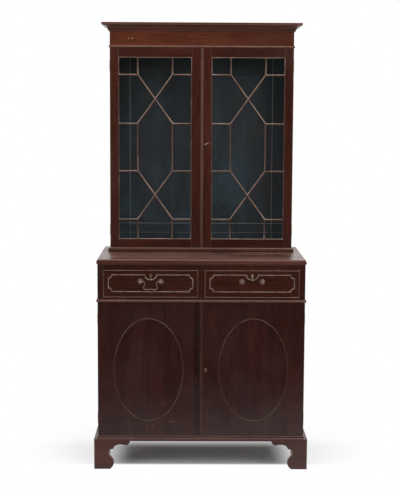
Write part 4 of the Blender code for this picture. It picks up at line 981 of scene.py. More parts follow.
class BOOKCASE_OT_cases(BookcaseOperator, bpy.types.Operator):
    """Boards of the lower and upper case"""

    bl_idname = "bookcase.cases"
    bl_label = "Case boards"

    def build(self, sizes):
        for label, _ in SIDES:
            self.lower_side(label, sizes.arris)
            solid = f"upper_side_{label}"
            self.side(block(*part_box(solid), sizes.arris), "upper", label, solid)
        self.boarded("lower_back", "lower_back_boards", raw_pine("z"), 5)
        self.boarded("upper_top", "upper_case_top", raw_pine("x"), 1)
        self.rails(sizes.arris)
        self.painted_back()

    @staticmethod
    def side(made, case, label, solid):
        for hinge in hinges_of(case, label):
            hinge.cut(made, 1)
        coat(smooth(made), board_wood(case, "z"))
        settle(made, f"{label}_{case}_side", "case", f"{case}_mahogany", solid)

    @staticmethod
    def boarded(solid, name, finish, count):
        """A back or top of upright boards, with the joints between them shrunk open on both faces."""
        low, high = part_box(solid)
        made = block(low, high, 0.001)
        half, sunk, uneven = 0.0007, 0.0018, 0.12
        for index in range(1, count):
            joint = low.x + (high.x - low.x) * (index + uneven * math.sin(7 * index)) / count
            for near, far in ((low.y - OVERRUN, low.y + sunk), (high.y - sunk, high.y + OVERRUN)):
                start, end = (joint - half, near, low.z - OVERRUN), (joint + half, far, high.z + OVERRUN)
                carve(made, block(start, end))
        settle(coat(smooth(made), finish), name, "case", "pine", solid)

    def lower_side(self, label, arris):
        """A lower side, set back behind the cupboard doors and full beside the drawers."""
        solid = f"lower_side_{label}"
        low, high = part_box(solid)
        behind_door, above_door = 0.023, 0.0015
        step_y = LOWER_FACE + behind_door
        step_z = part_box(f"lower_{label}_door_board")[1].z + above_door
        outline = (
            (high.y, low.z), (step_y, low.z), (step_y, step_z),
            (low.y, step_z), (low.y, high.z), (high.y, high.z),
        )
        made = prism([(low.x, y, z) for y, z in outline], (high.x - low.x, 0, 0))
        self.side(round_edges(made, arris), "lower", label, solid)

    def rails(self, arris):
        """The two rails and the upright between the drawers, mortised for the drawers' bolts."""
        low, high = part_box("drawer_rails")
        opening_low, opening_high = (corner.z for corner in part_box("left_drawer_cock_bead"))
        half = 0.0155
        parts = []
        for near, far in ((low.z, opening_low - SEAT), (opening_high + 0.001, high.z)):
            rail = block((low.x, low.y, near), (high.x, high.y, far), arris)
            parts.append(coat(rail, board_wood("drawer", "x")))
        ends = ((-half, low.y, opening_low - 0.0002), (half, low.y + 0.022, opening_high + 0.0009))
        made = joined([*parts, coat(block(*ends, 0.0006), board_wood("drawer", "z"))])
        play, throw = Vector((0.0006, 0.0006, 0)), Vector((0, 0, 0.0106))
        for label, _ in SIDES:
            low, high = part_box(f"{label}_drawer_lock_bolt")
            carve(made, block(low - play, high + play + throw))
        settle(smooth(made), "drawer_framing", "case", "lower_mahogany", "drawer_rails")

    def painted_back(self):
        """A framed back of two panels, painted in front and bare behind."""
        low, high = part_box("upper_back")
        muntin, sink = 0.040, 0.0045
        rim, sill, lintel = high.x - 0.071, low.z + 0.105, high.z - 0.240
        # Pale lines along the frame's inner arrises and the sill: rubbed paint and painted highlights where
        # they catch the light
        rubbed_and_lit_lines = (("X", -rim, 0.0018), ("X", rim, 0.0018), ("Z", sill, 0.0018), ("Z", 1.12, 0.0012))
        paint = blue_paint(rubbed_and_lit_lines)
        parts = []
        for left, bottom, right, top, sunk, arris, grain in (
            (low.x, low.z, -rim, high.z, 0, 0.0012, "z"),
            (rim, low.z, high.x, high.z, 0, 0.0012, "z"),
            (-muntin, sill, muntin, lintel, 0, 0.0012, "z"),
            (-rim, low.z, rim, sill, 0, 0.0012, "x"),
            (-rim, lintel, rim, high.z, 0, 0.0012, "x"),
            (-rim, sill, -muntin, lintel, sink, 0, "z"),
            (muntin, sill, rim, lintel, sink, 0, "z"),
        ):
            board = coat(block((left, low.y + sunk, bottom), (right, high.y - sunk, top), arris), paint)
            board.data.materials.append(raw_pine(grain))
            for face in board.data.polygons:
                face.material_index = int(face.normal.y > -0.3)
            parts.append(board)
        settle(smooth(joined(parts)), "upper_back_frame", "case", "painted_wood", "upper_back")


class BOOKCASE_OT_mouldings(BookcaseOperator, bpy.types.Operator):
    """Cornice, frieze, beads, moulded top and bases"""

    bl_idname = "bookcase.mouldings"
    bl_label = "Mouldings"

    def build(self, sizes):
        self.cornice()
        self.frieze(sizes)
        self.lower_top()
        self.lower_base()
        self.upper_base()
        self.waist_bead()

    @staticmethod
    def ring(name, profile, half, front, finish, *solids):
        """A moulding run round three sides, with the case's own room cut out of it."""
        made = run_round(profile, half, front)
        levels = [level for _, level in profile]
        low, high = min(levels) - 2 * OVERRUN, max(levels) + 2 * OVERRUN
        room = block((-half - SEAT, front - SEAT, low), (half + SEAT, BACK + 2 * OVERRUN, high))
        settle(coat(smooth(clean(carve(made, room)), 32), finish), name, "case", "moulding_mahogany", *solids)

    def cornice(self):
        """A bead, a hollow and a fascia under the roof."""
        low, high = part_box("cornice")
        start, tall, out, soft = low.z, high.z - low.z, high.x - UPPER_HALF, 0.0008
        bead = arc((0, start + tall * 0.10), (out * 0.20, tall * 0.10), -90, 60, 8)
        hollow_low, hollow_high, hollow_out = start + tall * 0.26, start + tall * 0.66, out * 0.80
        cove = arc((hollow_out, hollow_low), (hollow_out - out * 0.26, hollow_high - hollow_low), 180, 90, 14)
        fascia = start + tall * 0.74
        profile = [
            (SEAT, start),
            *bead[1:],
            (out * 0.26, start + tall * 0.20),
            *cove,
            (out * 0.90, hollow_high),
            (out * 0.90, fascia),
            (out - soft, fascia),
            (out, fascia + soft),
            (out, high.z - soft),
            (out - soft, high.z),
        ]
        # Pale bands on the fascia and the bead: rubbed polish and painted highlights where they catch the light
        crests = (("Z", start + tall * 0.80, tall * 0.08, 0.18), ("Z", start + tall * 0.10, tall * 0.05, 0.15))
        finish = moulding_wood("cornice_mahogany", *crests)
        self.ring("cornice_moulding", profile, UPPER_HALF, UPPER_FACE, finish, "cornice")

    def frieze(self, sizes):
        """The board over the glazed doors, and the bead along its foot."""
        low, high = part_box("frieze")
        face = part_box("upper_right_door_frame")[0].y + MEETING_PROUD
        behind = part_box("upper_left_door_frame")[1].y
        board = block((-UPPER_HALF, face, low.z), (UPPER_HALF, behind, high.z), sizes.arris)
        chips = ((-0.3657, 2.1215, 0.0075), (-0.3506, 2.1215, 0.007))
        finish = polished_wood("frieze_mahogany", "frieze_wood", "x", contrast=1.15, spots=chips)
        settle(coat(smooth(board), finish), "frieze_board", "case", "frieze_mahogany", "frieze")
        proud, half = 0.0045, 0.0065
        nose = arc((0, low.z + SEAT + half), (proud, half), -90, 90, 10)
        finish = moulding_wood("frieze_bead_mahogany", ("Z", low.z + SEAT + half + 0.001, 0.003, 0.6))
        self.ring("frieze_bead", nose, UPPER_HALF, face, finish)

    def lower_top(self):
        """A top with a lip, rounded over above it: its upward faces painted lighter and its edge darker and
        redder, lit and shaded copies of one mahogany.
        """
        low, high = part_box("lower_top")
        proud, tall = high.x - LOWER_HALF, high.z - low.z
        lip_low, lip_high = low.z + tall * 0.22, low.z + tall * 0.42
        round_depth = proud * 1.75
        under = arc((proud, low.z), (proud, lip_low - low.z), 180, 90, 6)
        over = arc((proud - round_depth, lip_high), (round_depth - proud * 0.2, high.z - lip_high), 0, 90, 9)
        made = run_round([*under, (proud, lip_high), *over], LOWER_HALF, LOWER_FACE)
        # A red line along the lip: rubbed wood and a painted glow where the rounded edge catches the light
        worn = {"crests": (("Z", lip_high, 0.0035, 0.5),), "worn": "rubbed_and_lit_red"}
        coat(made, polished_wood("top_mahogany", "lit_top_wood", "x", contrast=2.2, shine=0.24, **worn))
        made.data.materials.append(polished_wood("top_edge_mahogany", "shaded_edge_wood", "x", shine=0.27, **worn))
        # Painted light: faces that look up take the lighter colour, the others the darker one
        for face in made.data.polygons:
            face.material_index = int(face.normal.z < 0.95)
        settle(made, "moulded_top", "case", "moulding_mahogany", "lower_top")

    def lower_base(self):
        """A fascia, a hollow and a rounded shoulder."""
        low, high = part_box("lower_base")
        proud, tall = high.x - LOWER_HALF, high.z - low.z
        fascia, cove_top = low.z + tall * 0.40, low.z + tall * 0.72
        shoulder = proud * 0.28
        cove = arc((proud, cove_top), (proud - shoulder, cove_top - fascia), 270, 180, 9)
        nose = arc((0, cove_top), (shoulder, high.z - cove_top), 0, 90, 6)
        made = run_round([(proud, low.z), *cove, *nose[1:]], LOWER_HALF, LOWER_FACE)
        crests = (("Z", fascia, 0.0014, 0.16), ("Z", high.z - 0.001, 0.0018, 0.16))
        coat(made, polished_wood("plinth_mahogany", "foot_wood", "x", crests=crests))
        settle(made, "plinth_moulding", "case", "moulding_mahogany", "lower_base")

    def upper_base(self):
        """A fascia, rounded over."""
        low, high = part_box("upper_base")
        proud, tall = high.x - UPPER_HALF, high.z - low.z
        fascia = low.z + tall * 0.45
        nose = arc((proud * 0.3, fascia), (proud * 0.7, high.z - fascia), 0, 90, 8)
        made = run_round([(proud, low.z), *nose], UPPER_HALF, UPPER_FACE)
        # Painted shadow: the foot of the moulding is darkened where it sits on the lower top
        contact_shadow = [("Z", low.z - 0.002, low.z + 0.0045, 0.1)]
        coat(made, moulding_wood("base_mahogany", ("Z", fascia, 0.0018, 0.2), bands=contact_shadow))
        settle(made, "upper_base_moulding", "case", "moulding_mahogany", "upper_base")

    def waist_bead(self):
        """A half round on a fillet, under the drawers."""
        low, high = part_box("waist_bead")
        proud, level = high.x - LOWER_HALF, (low.z + high.z) / 2
        fillet = proud * 0.33
        nose = arc((fillet, level), (proud - fillet, (high.z - low.z) / 2), -90, 90, 12)
        finish = moulding_wood("waist_mahogany", ("Z", level + 0.001, 0.0032, 0.45))
        profile = [(SEAT, low.z), *nose, (SEAT, high.z)]
        self.ring("waist_moulding", profile, LOWER_HALF, LOWER_FACE, finish, "waist_bead")


class BOOKCASE_OT_feet(BookcaseOperator, bpy.types.Operator):
    """Bracket feet with their glue blocks"""

    bl_idname = "bookcase.feet"
    bl_label = "Bracket feet"

    # The sawn edge, in shares of the bracket's length and height: where it starts, and then the end and the
    # control point of each curve
    start = 0.434
    curves = (
        ((0.549, 0.247), (0.541, 0.085)),
        ((0.467, 0.445), (0.543, 0.353)),
        ((0.400, 0.604), (0.403, 0.523)),
        ((0.439, 0.701), (0.397, 0.664)),
        ((0.532, 0.718), (0.486, 0.710)),
        ((0.723, 0.877), (0.563, 0.873)),
        ((0.884, 0.846), (0.805, 0.873)),
        ((1.000, 1.000), (0.957, 0.849)),
    )
    # A bracket's length and thickness
    along = 0.178
    thick = 0.020

    def outline(self, tall):
        """A bracket seen from its side, as (along, level) points from the floor's corner."""
        points = [(0, 0), (self.start * self.along, 0)]
        for shares in self.curves:
            here = points[-1]
            end, control = ((x * self.along, z * tall) for x, z in shares)
            for t in (step / 8 for step in range(1, 9)):
                a, b, c = (1 - t) ** 2, 2 * t * (1 - t), t * t
                points.append(tuple(a * here[i] + b * control[i] + c * end[i] for i in (0, 1)))
        return [*points, (0, tall)]

    def build(self, sizes):
        low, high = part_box("front_left_foot")
        outline, thick = self.outline(high.z), self.thick
        front = prism([(low.x + x, low.y, z) for x, z in outline], (0, thick, 0))
        round_edges(front, 0.0012, 2, lambda edge: all_of(edge, lambda co: co.y < low.y + NEAR))
        flank = prism([(low.x, low.y + x, z) for x, z in outline], (thick, 0, 0))
        round_edges(flank, 0.0012, 2, lambda edge: all_of(edge, lambda co: co.x < low.x + NEAR))
        carve(front, self.beyond_mitre(low, (-1, 1)))
        carve(flank, self.beyond_mitre(low, (1, -1)))
        inner = low + Vector((thick, thick, 0))
        glue = block((inner.x, inner.y, 0.012), (inner.x + 0.055, inner.y + 0.055, high.z), 0.002)
        worn = {"wear": 0.7, "bloom": 0.2, "contrast": 1.3, "marks": 0.6}
        for bracket, grain in ((front, "x"), (flank, "y")):
            coat(bracket, polished_wood("foot_mahogany", "foot_wood", grain, **worn))
        foot = smooth(joined([front, flank, coat(glue, raw_pine("z"))]), 34)
        shift = (0, BACK + low.y, 0)
        for across, along, made in (
            ("left", "front", foot),
            ("right", "front", copied(foot, (0, 0, 0), (-1, 1, 1))),
            ("left", "rear", copied(foot, shift, (1, -1, 1))),
            ("right", "rear", copied(foot, shift, (-1, -1, 1))),
        ):
            settle(made, f"{across}_{along}_foot", "case", "lower_mahogany", f"{along}_{across}_foot")

    @staticmethod
    def beyond_mitre(low, corner):
        """What lies past the mitre where two brackets meet, towards one corner, to be cut away."""
        points = [(low.x + 0.03 * x, low.y + 0.03 * y, -OVERRUN) for x, y in ((-1, -1), (1, 1), corner)]
        return prism(points, (0, 0, 0.2))


class BOOKCASE_OT_glazed_doors(BookcaseOperator, bpy.types.Operator):
    """Glazed doors: stiles, rails, glazing bars and panes"""

    bl_idname = "bookcase.glazed_doors"
    bl_label = "Glazed doors"

    # Shares of the opening's width and height at which the bars stand
    column = 0.262
    rows = (0.096, 0.362, 0.623, 0.890)

    def build(self, sizes):
        for label, side in SIDES:
            sight = sorted((side * SIGHT_LOW.x, side * SIGHT_HIGH.x))
            self.frame(label, side, sight, sizes.arris)
            self.lattice(label, sight, sizes)

    def frame(self, label, side, sight, arris):
        body = f"upper_{label}_door"
        low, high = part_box("upper_left_door_frame")
        near, far = UPPER_FACE, UPPER_FACE + DOOR_THICKNESS
        left, right = sorted((-0.005 + side * MEETING_GAP, side * UPPER_HALF))
        x0, x1 = sight[0] - SEAT, sight[1] + SEAT
        parts = []
        for start, end in ((left, x0), (x1, right)):
            stile = block((start, near, low.z), (end, far, high.z), arris)
            if side * UPPER_HALF in (start, end):
                for hinge in hinges_of("upper", label):
                    hinge.cut(stile, -1)
            elif label == "right":
                cut_keyhole(stile, "upper_right_door_lock", near, DOOR_THICKNESS)
            parts.append(coat(stile, board_wood("upper", "z")))
        for bottom, top in ((low.z, SIGHT_LOW.z - SEAT), (SIGHT_HIGH.z + SEAT, high.z)):
            parts.append(coat(block((x0, near, bottom), (x1, far, top), arris), board_wood("upper", "x")))
        if label == "right":
            crest = ("Y", near - MEETING_PROUD, 0.0008, 0.22)
            finish = moulding_wood("upper_meeting_mahogany", crest, grain="z")
            parts.append(coat(self.meeting_bead(left, near, low.z, high.z), finish))
        made = smooth(joined(parts))
        settle(made, f"{label}_glazed_door_frame", body, "upper_mahogany", f"{body}_frame")

    @staticmethod
    def meeting_bead(left, face, z0, z1):
        bead = block((left, face - MEETING_PROUD, z0), (left + 0.014, face + 0.0004, z1))

        def long_in_front(edge):
            upright = abs(edge.verts[0].co.z - edge.verts[1].co.z) > 0.1
            return upright and middle(edge).y < face - 0.001

        return round_edges(bead, 0.0042, 5, long_in_front)

    def lattice(self, label, sight, sizes):
        """Bars and panes cut from one sheet by lines drawn across it."""
        body, (left, right) = f"upper_{label}_door", sight
        front, low, high = SIGHT_LOW.y, SIGHT_LOW.z, SIGHT_HIGH.z
        wide, tall = right - left, high - low
        near, far = left + self.column * wide, right - self.column * wide
        rows = [high - share * tall for share in self.rows]
        deselect()
        bpy.ops.mesh.primitive_plane_add(
            size=1,
            location=((left + right) / 2, front, (low + high) / 2),
            rotation=(math.pi / 2, 0, 0),
        )
        bars = bpy.context.object
        bpy.ops.transform.resize(value=(wide, 1, tall))
        apply_place(bars)

        def split(band, x, z, normal):
            top, bottom = band
            pick("faces", lambda face: bottom < middle(face).z < top)
            bpy.ops.mesh.bisect(plane_co=(x, front, z), plane_no=normal)

        def open_row(edge):
            """Whether an edge lies in a row between the columns, where no bar stands."""
            place = middle(edge)
            level = min(abs(place.z - row) for row in rows) < NEAR
            return level and abs(edge.verts[0].co.z - edge.verts[1].co.z) < NEAR and near < place.x < far

        with editing(bars):
            for level in rows:
                split((high, low), left, level, (0, 0, 1))
            bands = list(zip([high, *rows], [*rows, low]))
            for band in bands[::2]:
                for x in (near, far):
                    split(band, x, high, (1, 0, 0))
            for top, bottom in bands[1::2]:
                for start, end in ((near, far), (far, near)):
                    run = Vector((end - start, 0, bottom - top))
                    split((top, bottom), start, top, run.cross(Vector((0, 1, 0))))
            pick("edges", open_row)
            bpy.ops.mesh.dissolve_edges(use_verts=False)
            pick("faces")
            bpy.ops.mesh.inset(thickness=sizes.bar_half, use_individual=True)
            bpy.ops.mesh.separate(type="SELECTED")
        panes = [obj for obj in bpy.context.selected_objects if obj != bars][0]
        with editing(bars, "FACE"):
            bpy.ops.mesh.normals_make_consistent(inside=False)
        self.thicken(bars, SIGHT_HIGH.y - front)
        round_nose(clean(bars), front, sizes.bar_nose)
        coat(bars, self.bar_finish())
        settle(bars, f"{label}_glazing_bars", body, "moulding_mahogany", f"{body}_bars")
        glass_low, glass_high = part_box(f"{body}_glass")
        take(panes)
        bpy.ops.transform.translate(value=(0, glass_low.y - front, 0))
        apply_place(panes)
        self.thicken(panes, glass_high.y - glass_low.y)
        settle(coat(clean(panes), window_glass()), f"{label}_panes", body, "glass", f"{body}_glass")

    @staticmethod
    def thicken(obj, depth):
        toward_front = sum(face.normal.y * face.area for face in obj.data.polygons) < 0
        modified(obj, "SOLIDIFY", thickness=depth, offset=-1 if toward_front else 1, use_even_offset=False)

    @staticmethod
    def bar_finish():
        repair = [(0.284 + 0.006 * step, 1.374 + 0.0095 * step, 0.008) for step in (-1, 0, 1)]
        # Painted highlights: the bars' front crests and upward faces turn pale as if lit from above, with some
        # rubbed polish
        crests = [("Y", SIGHT_LOW.y, 0.0004, 0.10)]
        worn = {"wear": 0.3, "worn": "bar_crest_highlight", "least": 0.3, "ledge": 1.0}
        return polished_wood("bar_mahogany", "upper_wood", "z", crests=crests, spots=repair, **worn)


class BOOKCASE_OT_cupboard_doors(BookcaseOperator, bpy.types.Operator):
    """Cupboard doors with their oval panels"""

    bl_idname = "bookcase.cupboard_doors"
    bl_label = "Cupboard doors"

    def build(self, sizes):
        for label, side in SIDES:
            self.door(label, side, sizes)

    def door(self, label, side, sizes):
        body, face = f"lower_{label}_door", LOWER_FACE
        low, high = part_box(f"{body}_board")
        left, right = sorted((-0.0082 + side * MEETING_GAP, side * LOWER_HALF))
        oval_low, oval_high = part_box(f"{body}_oval_bead")
        centre = ((oval_low.x + oval_high.x) / 2, (oval_low.z + oval_high.z) / 2)
        half = ((oval_high.x - oval_low.x) / 2, (oval_high.z - oval_low.z) / 2)

        def oval(grow, near, far):
            return oval_slab(centre, [size + grow for size in half], face + near, face + far)

        board = block((left, face, low.z), (right, face + DOOR_THICKNESS, high.z), sizes.arris)
        carve(board, oval(SEAT, -OVERRUN, 0.03))
        for hinge in hinges_of("lower", label):
            hinge.cut(board, -1)
        parts = [coat(board, self.board_finish(label))]
        if label == "right":
            cut_keyhole(board, "lower_right_door_lock", face, 0.02)
            bead = BOOKCASE_OT_glazed_doors.meeting_bead(left, face, low.z, high.z)
            worn = {"crests": [("Y", face - MEETING_PROUD, 0.0008, 0.10)], "least": 0.2}
            parts.append(coat(bead, polished_wood("lower_meeting_mahogany", "lower_wood", "z", **worn)))
        made = smooth(joined(parts))
        settle(made, f"{label}_cupboard_door", body, "lower_mahogany", f"{body}_board")
        proud = 0.0016
        bead = round_nose(hollow(oval(0, -proud, 0.009), sizes.oval_bead), face - proud, 0.0019)
        # The bead's crest and upward faces turn pale: rubbed polish and painted highlights
        worn = {"crests": [("Y", face - proud, 0.0006, 0.04)], "least": 0.2, "ledge": 0.25}
        coat(bead, polished_wood("oval_bead_mahogany", "lower_wood", "z", **worn))
        settle(bead, f"{label}_oval_bead", body, "moulding_mahogany", f"{body}_oval_bead")
        panel = smooth(oval(-sizes.oval_bead - SEAT, 0.0035, 0.0178))
        # The panel's haze grows lower down: bloom and a painted reflection of the pale floor
        hazy = {"bloom": 0.3, "low_bloom_and_floor_reflection": (0.72, 0.28)}
        coat(panel, polished_wood("panel_mahogany", "panel_wood", "z", contrast=1.2, **hazy))
        settle(panel, f"{label}_oval_panel", body, "lower_mahogany", f"{body}_oval_panel")

    @staticmethod
    def board_finish(label):
        # The door's haze grows lower down: bloom and a painted reflection of the pale floor
        worn = {"bloom": 0.32, "low_bloom_and_floor_reflection": (0.95, 0.30), "marks": 0.5}
        if label == "left":
            worn["bands"] = (("X", -0.036, -0.004, 0.35),)
            worn["spots"] = ((-0.296, 0.2225, 0.004), (-0.268, 0.219, 0.0035), (-0.236, 0.2145, 0.004))
        return polished_wood(f"{label}_door_mahogany", "lower_wood", "z", **worn)


class BOOKCASE_OT_drawers(BookcaseOperator, bpy.types.Operator):
    """Drawer fronts with applied mouldings and cock beads, and the drawer boxes"""

    bl_idname = "bookcase.drawers"
    bl_label = "Drawers"

    # Thickness of a box's sides, and how far the cock bead stands proud of the front
    side = 0.010
    bead_proud = 0.0035

    def build(self, sizes):
        for label, _ in SIDES:
            body = f"{label}_drawer"
            low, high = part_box(f"{body}_cock_bead")
            front = low.y + self.bead_proud
            rebate = high.y + SEAT
            inset = Vector((1, 0, 1)) * (sizes.cock_bead + SEAT)
            start, end = Vector((low.x, front, low.z)), Vector((high.x, rebate + 0.001, high.z))
            board = block(start + inset, end - inset)
            carve(board, block((low.x, rebate, low.z), (high.x, front + DRAWER_FRONT, high.z)), "UNION")
            round_edges(clean(board), 0.0004, 2, lambda edge: abs(middle(edge).y - rebate) > NEAR)
            for tail in self.dovetails(body, 0.0002):
                carve(board, tail)
            cut_keyhole(board, f"{body}_lock", front, DRAWER_FRONT)
            coat(smooth(board), board_wood("drawer", "x"))
            settle(board, f"{body}_board", body, "lower_mahogany", f"{body}_front")
            bead = round_nose(hollow(block(low, high), sizes.cock_bead), low.y, 0.0016, 4)
            # The cock bead's crest and upward faces turn pale: rubbed polish and painted highlights
            crests = [("Y", low.y, 0.0006, 0.38)]
            worn = {"wear": 0.3, "worn": "red_crest", "crests": crests, "ledge": 0.9, "least": 0.1}
            coat(bead, polished_wood("cock_bead_mahogany", "drawer_wood", "x", **worn))
            settle(bead, f"{body}_bead", body, "moulding_mahogany", f"{body}_cock_bead")
            self.applied_moulding(body, low, high, front)
            self.box(body)

    def applied_moulding(self, body, low, high, front):
        """A thin moulding round the front, hollowed at its corners and dipped below the keyhole."""
        x0, x1 = low.x + 0.0255, high.x - 0.0255
        z0, z1 = low.z + 0.0285, high.z - 0.0235
        width, proud = 0.0042, 0.0026
        centre = (low.x + high.x) / 2
        near, far = front - proud, front + 0.0005

        def plate(inset, start, end):
            grow = width / 2 - inset
            made = block((x0 - grow, start, z0 - grow), (x1 + grow, end, z1 + grow))
            bites = [((x, z), 0.0175, 0.0175, 64) for x in (x0, x1) for z in (z0, z1)]
            for place, wide, tall, steps in (*bites, ((centre, z1), 0.029, 0.0245, 96)):
                half = (wide - grow, tall - grow)
                carve(made, oval_slab(place, half, start - OVERRUN, end + OVERRUN, steps))
            return made

        made = clean(carve(plate(0, near, far), plate(width, near - OVERRUN, far + OVERRUN)))
        round_nose(made, near, 0.0014, 4)
        worn = {"wear": 0.3, "worn": "bar_crest_highlight", "ledge": 1.0, "least": 0.15}
        worn["crests"] = [("Y", near, 0.0004, 0.3)]
        # Pale spots at the dip and near a corner: painted highlights where the moulding turns to the light
        worn["spots"] = (
            (centre + 0.004, z1 - 0.0225, 0.005),
            (centre - 0.016, z1 - 0.017, 0.004),
            (x1 - 0.007, z1 - 0.014, 0.005),
        )
        coat(made, polished_wood(f"{body}_moulding_mahogany", "drawer_wood", "x", **worn))
        settle(made, f"{body}_panel_moulding", body, "moulding_mahogany")

    def dovetails(self, body, growth):
        """The tails of both sides, which are let into the ends of the front."""
        low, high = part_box(f"{body}_box")
        tip, root = low.y - 0.0093 - growth, low.y + growth
        pitch = (high.z - low.z) / 4
        wide, narrow = 0.0125 + growth, 0.0085 + growth
        tails = []
        for left in (low.x - growth, high.x - self.side - growth):
            for index in range(4):
                z = low.z + pitch * (index + 0.5)
                corners = ((tip, z - wide), (tip, z + wide), (root, z + narrow), (root, z - narrow))
                outline = [(left, y, level) for y, level in corners]
                tails.append(prism(outline, (self.side + 2 * growth, 0, 0)))
        return tails

    def box(self, body):
        """Two sides with their tails, a back and a bottom."""
        low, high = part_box(f"{body}_box")
        left, right, behind = low.x + self.side, high.x - self.side, high.y - self.side
        floor = low.z + 0.009
        parts = [coat(tail, raw_pine("y")) for tail in self.dovetails(body, 0.0)]
        for start, end, arris, grain in (
            (low, (left, high.y, high.z), 0.0006, "y"),
            ((right, low.y, low.z), high, 0.0006, "y"),
            ((left, behind, low.z), (right, high.y, high.z), 0.0006, "x"),
            ((left, low.y, floor), (right, behind, floor + 0.006), 0, "y"),
        ):
            parts.append(coat(block(start, end, arris), raw_pine(grain)))
        settle(smooth(joined(parts)), f"{body}_carcase", body, "pine", f"{body}_box")


class BOOKCASE_OT_handles(BookcaseOperator, bpy.types.Operator):
    """Roses, posts and the bail"""

    bl_idname = "bookcase.handles"
    bl_label = "Handles"

    # (along, radius) of a rose and the neck on it, and the round end of the post
    rose = (
        (0.0, 0.0145), (-0.0010, 0.0145), (-0.0013, 0.0139), (-0.0012, 0.0128), (-0.0020, 0.0122),
        (-0.0027, 0.0108), (-0.0034, 0.0082), (-0.0038, 0.0060), (-0.0040, 0.0045),
        (-0.0060, 0.0040), (-0.0080, 0.0042),
    )
    knob = arc((-0.0118, 0), (0.0062, 0.0062), 42, 180, 10)
    # Half of the bail, in shares of the half span and of the drop, with its thickness and the drop
    bail_line = (
        (0.72, -0.05), (0.61, 0.08), (0.56, 0.28), (0.62, 0.50),
        (0.69, 0.70), (0.60, 0.92), (0.38, 1.00), (0.0, 0.93),
    )
    bail_radius = 0.0019
    bail_drop = 0.0385

    def build(self, sizes):
        for label, _ in SIDES:
            for hand in ("left", "right"):
                post = f"{label}_drawer_{hand}_post"
                low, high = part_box(post)
                centre = ((low.x + high.x) / 2, high.y, (low.z + high.z) / 2)
                made = turned(centre, [(0.0, 0.0), *self.rose, *self.knob[:-1], (-0.018, 0.0)])
                coat(made, brown_brass())
                settle(made, f"{label}_drawer_{hand}_rose", f"{label}_drawer", "brass", post)
        self.bail()

    def bail(self):
        """A swan-neck bail with a pin at each end that turns in its post."""
        boxes = [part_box(f"left_drawer_{hand}_post") for hand in ("left", "right")]
        start, end = ((low.x + high.x) / 2 for low, high in boxes)
        height = (boxes[1][0].z + boxes[1][1].z) / 2
        low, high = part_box("left_drawer_bail")
        depth, centre, half = (low.y + high.y) / 2, (start + end) / 2, (end - start) / 2
        shoulder = half - 0.0088
        right = [(shoulder, 0.0), *((out * half, -down * self.bail_drop) for out, down in self.bail_line)]
        route = right + [(-out, rise) for out, rise in reversed(right[:-1])]
        line = smooth_line([(centre + out, depth, height + rise) for out, rise in route], 6)
        parts = [wire(chain(line), self.bail_radius)]
        for side in (-1, 1):
            near, far, collar = (
                (centre + side * out, depth, height) for out in (shoulder - 0.0022, half - 0.0017, shoulder)
            )
            parts += [rod(near, far, 0.0015, 20), rod(near, collar, 0.0022, 20, 0.0005)]
        made = smooth(joined(parts), 50)
        settle(coat(made, brown_brass()), "left_bail", "left_drawer_bail", "brass", "left_drawer_bail")


class BOOKCASE_OT_hinges(BookcaseOperator, bpy.types.Operator):
    """Brass butt hinges: the leaf on the case and the leaf on the door"""

    bl_idname = "bookcase.hinges"
    bl_label = "Hinges"

    def build(self, sizes):
        first = Hinge("lower", "right", "bottom")
        leaves = [(self.leaf(first, toward, sizes.knuckle), toward) for toward in (1, -1)]
        for case in ("lower", "upper"):
            for label, side in SIDES:
                for hinge in hinges_of(case, label):
                    if hinge.name == first.name:
                        continue
                    move = (hinge.x - side * first.x, hinge.depth - first.depth, hinge.low - first.low)
                    for leaf, toward in leaves:
                        self.hang(copied(leaf, move, (side, 1, 1)), hinge, toward)
        for leaf, toward in leaves:
            self.hang(leaf, first, toward)

    @staticmethod
    def hang(leaf, hinge, toward):
        coat(leaf, brass())
        if toward > 0:
            settle(leaf, f"{hinge.name}_hinge_case_leaf", "case", "brass", hinge.node)
        else:
            settle(leaf, f"{hinge.name}_hinge_door_leaf", hinge.body, "brass")

    @staticmethod
    def leaf(hinge, toward, radius):
        """A plate behind (1) or in front of (-1) the pin, with rolled knuckles and three screws."""
        near, far = sorted(hinge.depth + toward * off for off in (hinge.gap, hinge.gap + hinge.leaf))
        low, high = hinge.low, hinge.high
        third = (high - low) / 3
        spans = ((low, low + third), (low + third, low + 2 * third), (low + 2 * third, high))
        left = hinge.x - hinge.width
        made = block((left, near, low + SEAT), (hinge.x - hinge.reach, far, high - SEAT), SEAT)

        def pin(start, end, *shape):
            return rod((hinge.x, hinge.depth, start), (hinge.x, hinge.depth, end), *shape)

        for start, end in spans[1:2] if toward > 0 else spans[::2]:
            start, end = start + SEAT / 2, end - SEAT / 2
            tongue = block((hinge.x - hinge.reach - 0.001, near, start), (hinge.x - 0.0006, far, end))
            carve(made, tongue, "UNION")
            carve(made, pin(start, end, radius, 32, 0.0003), "UNION")
        parts = [smooth(clean(made), 35)]
        if toward > 0:
            parts.append(pin(low, high, 0.0009, 20))
        face = near if toward > 0 else far
        for share in (0.16, 0.5, 0.84):
            parts.append(screw_at((left + 0.006, face, low + (high - low) * share), -toward))
        return joined(parts)


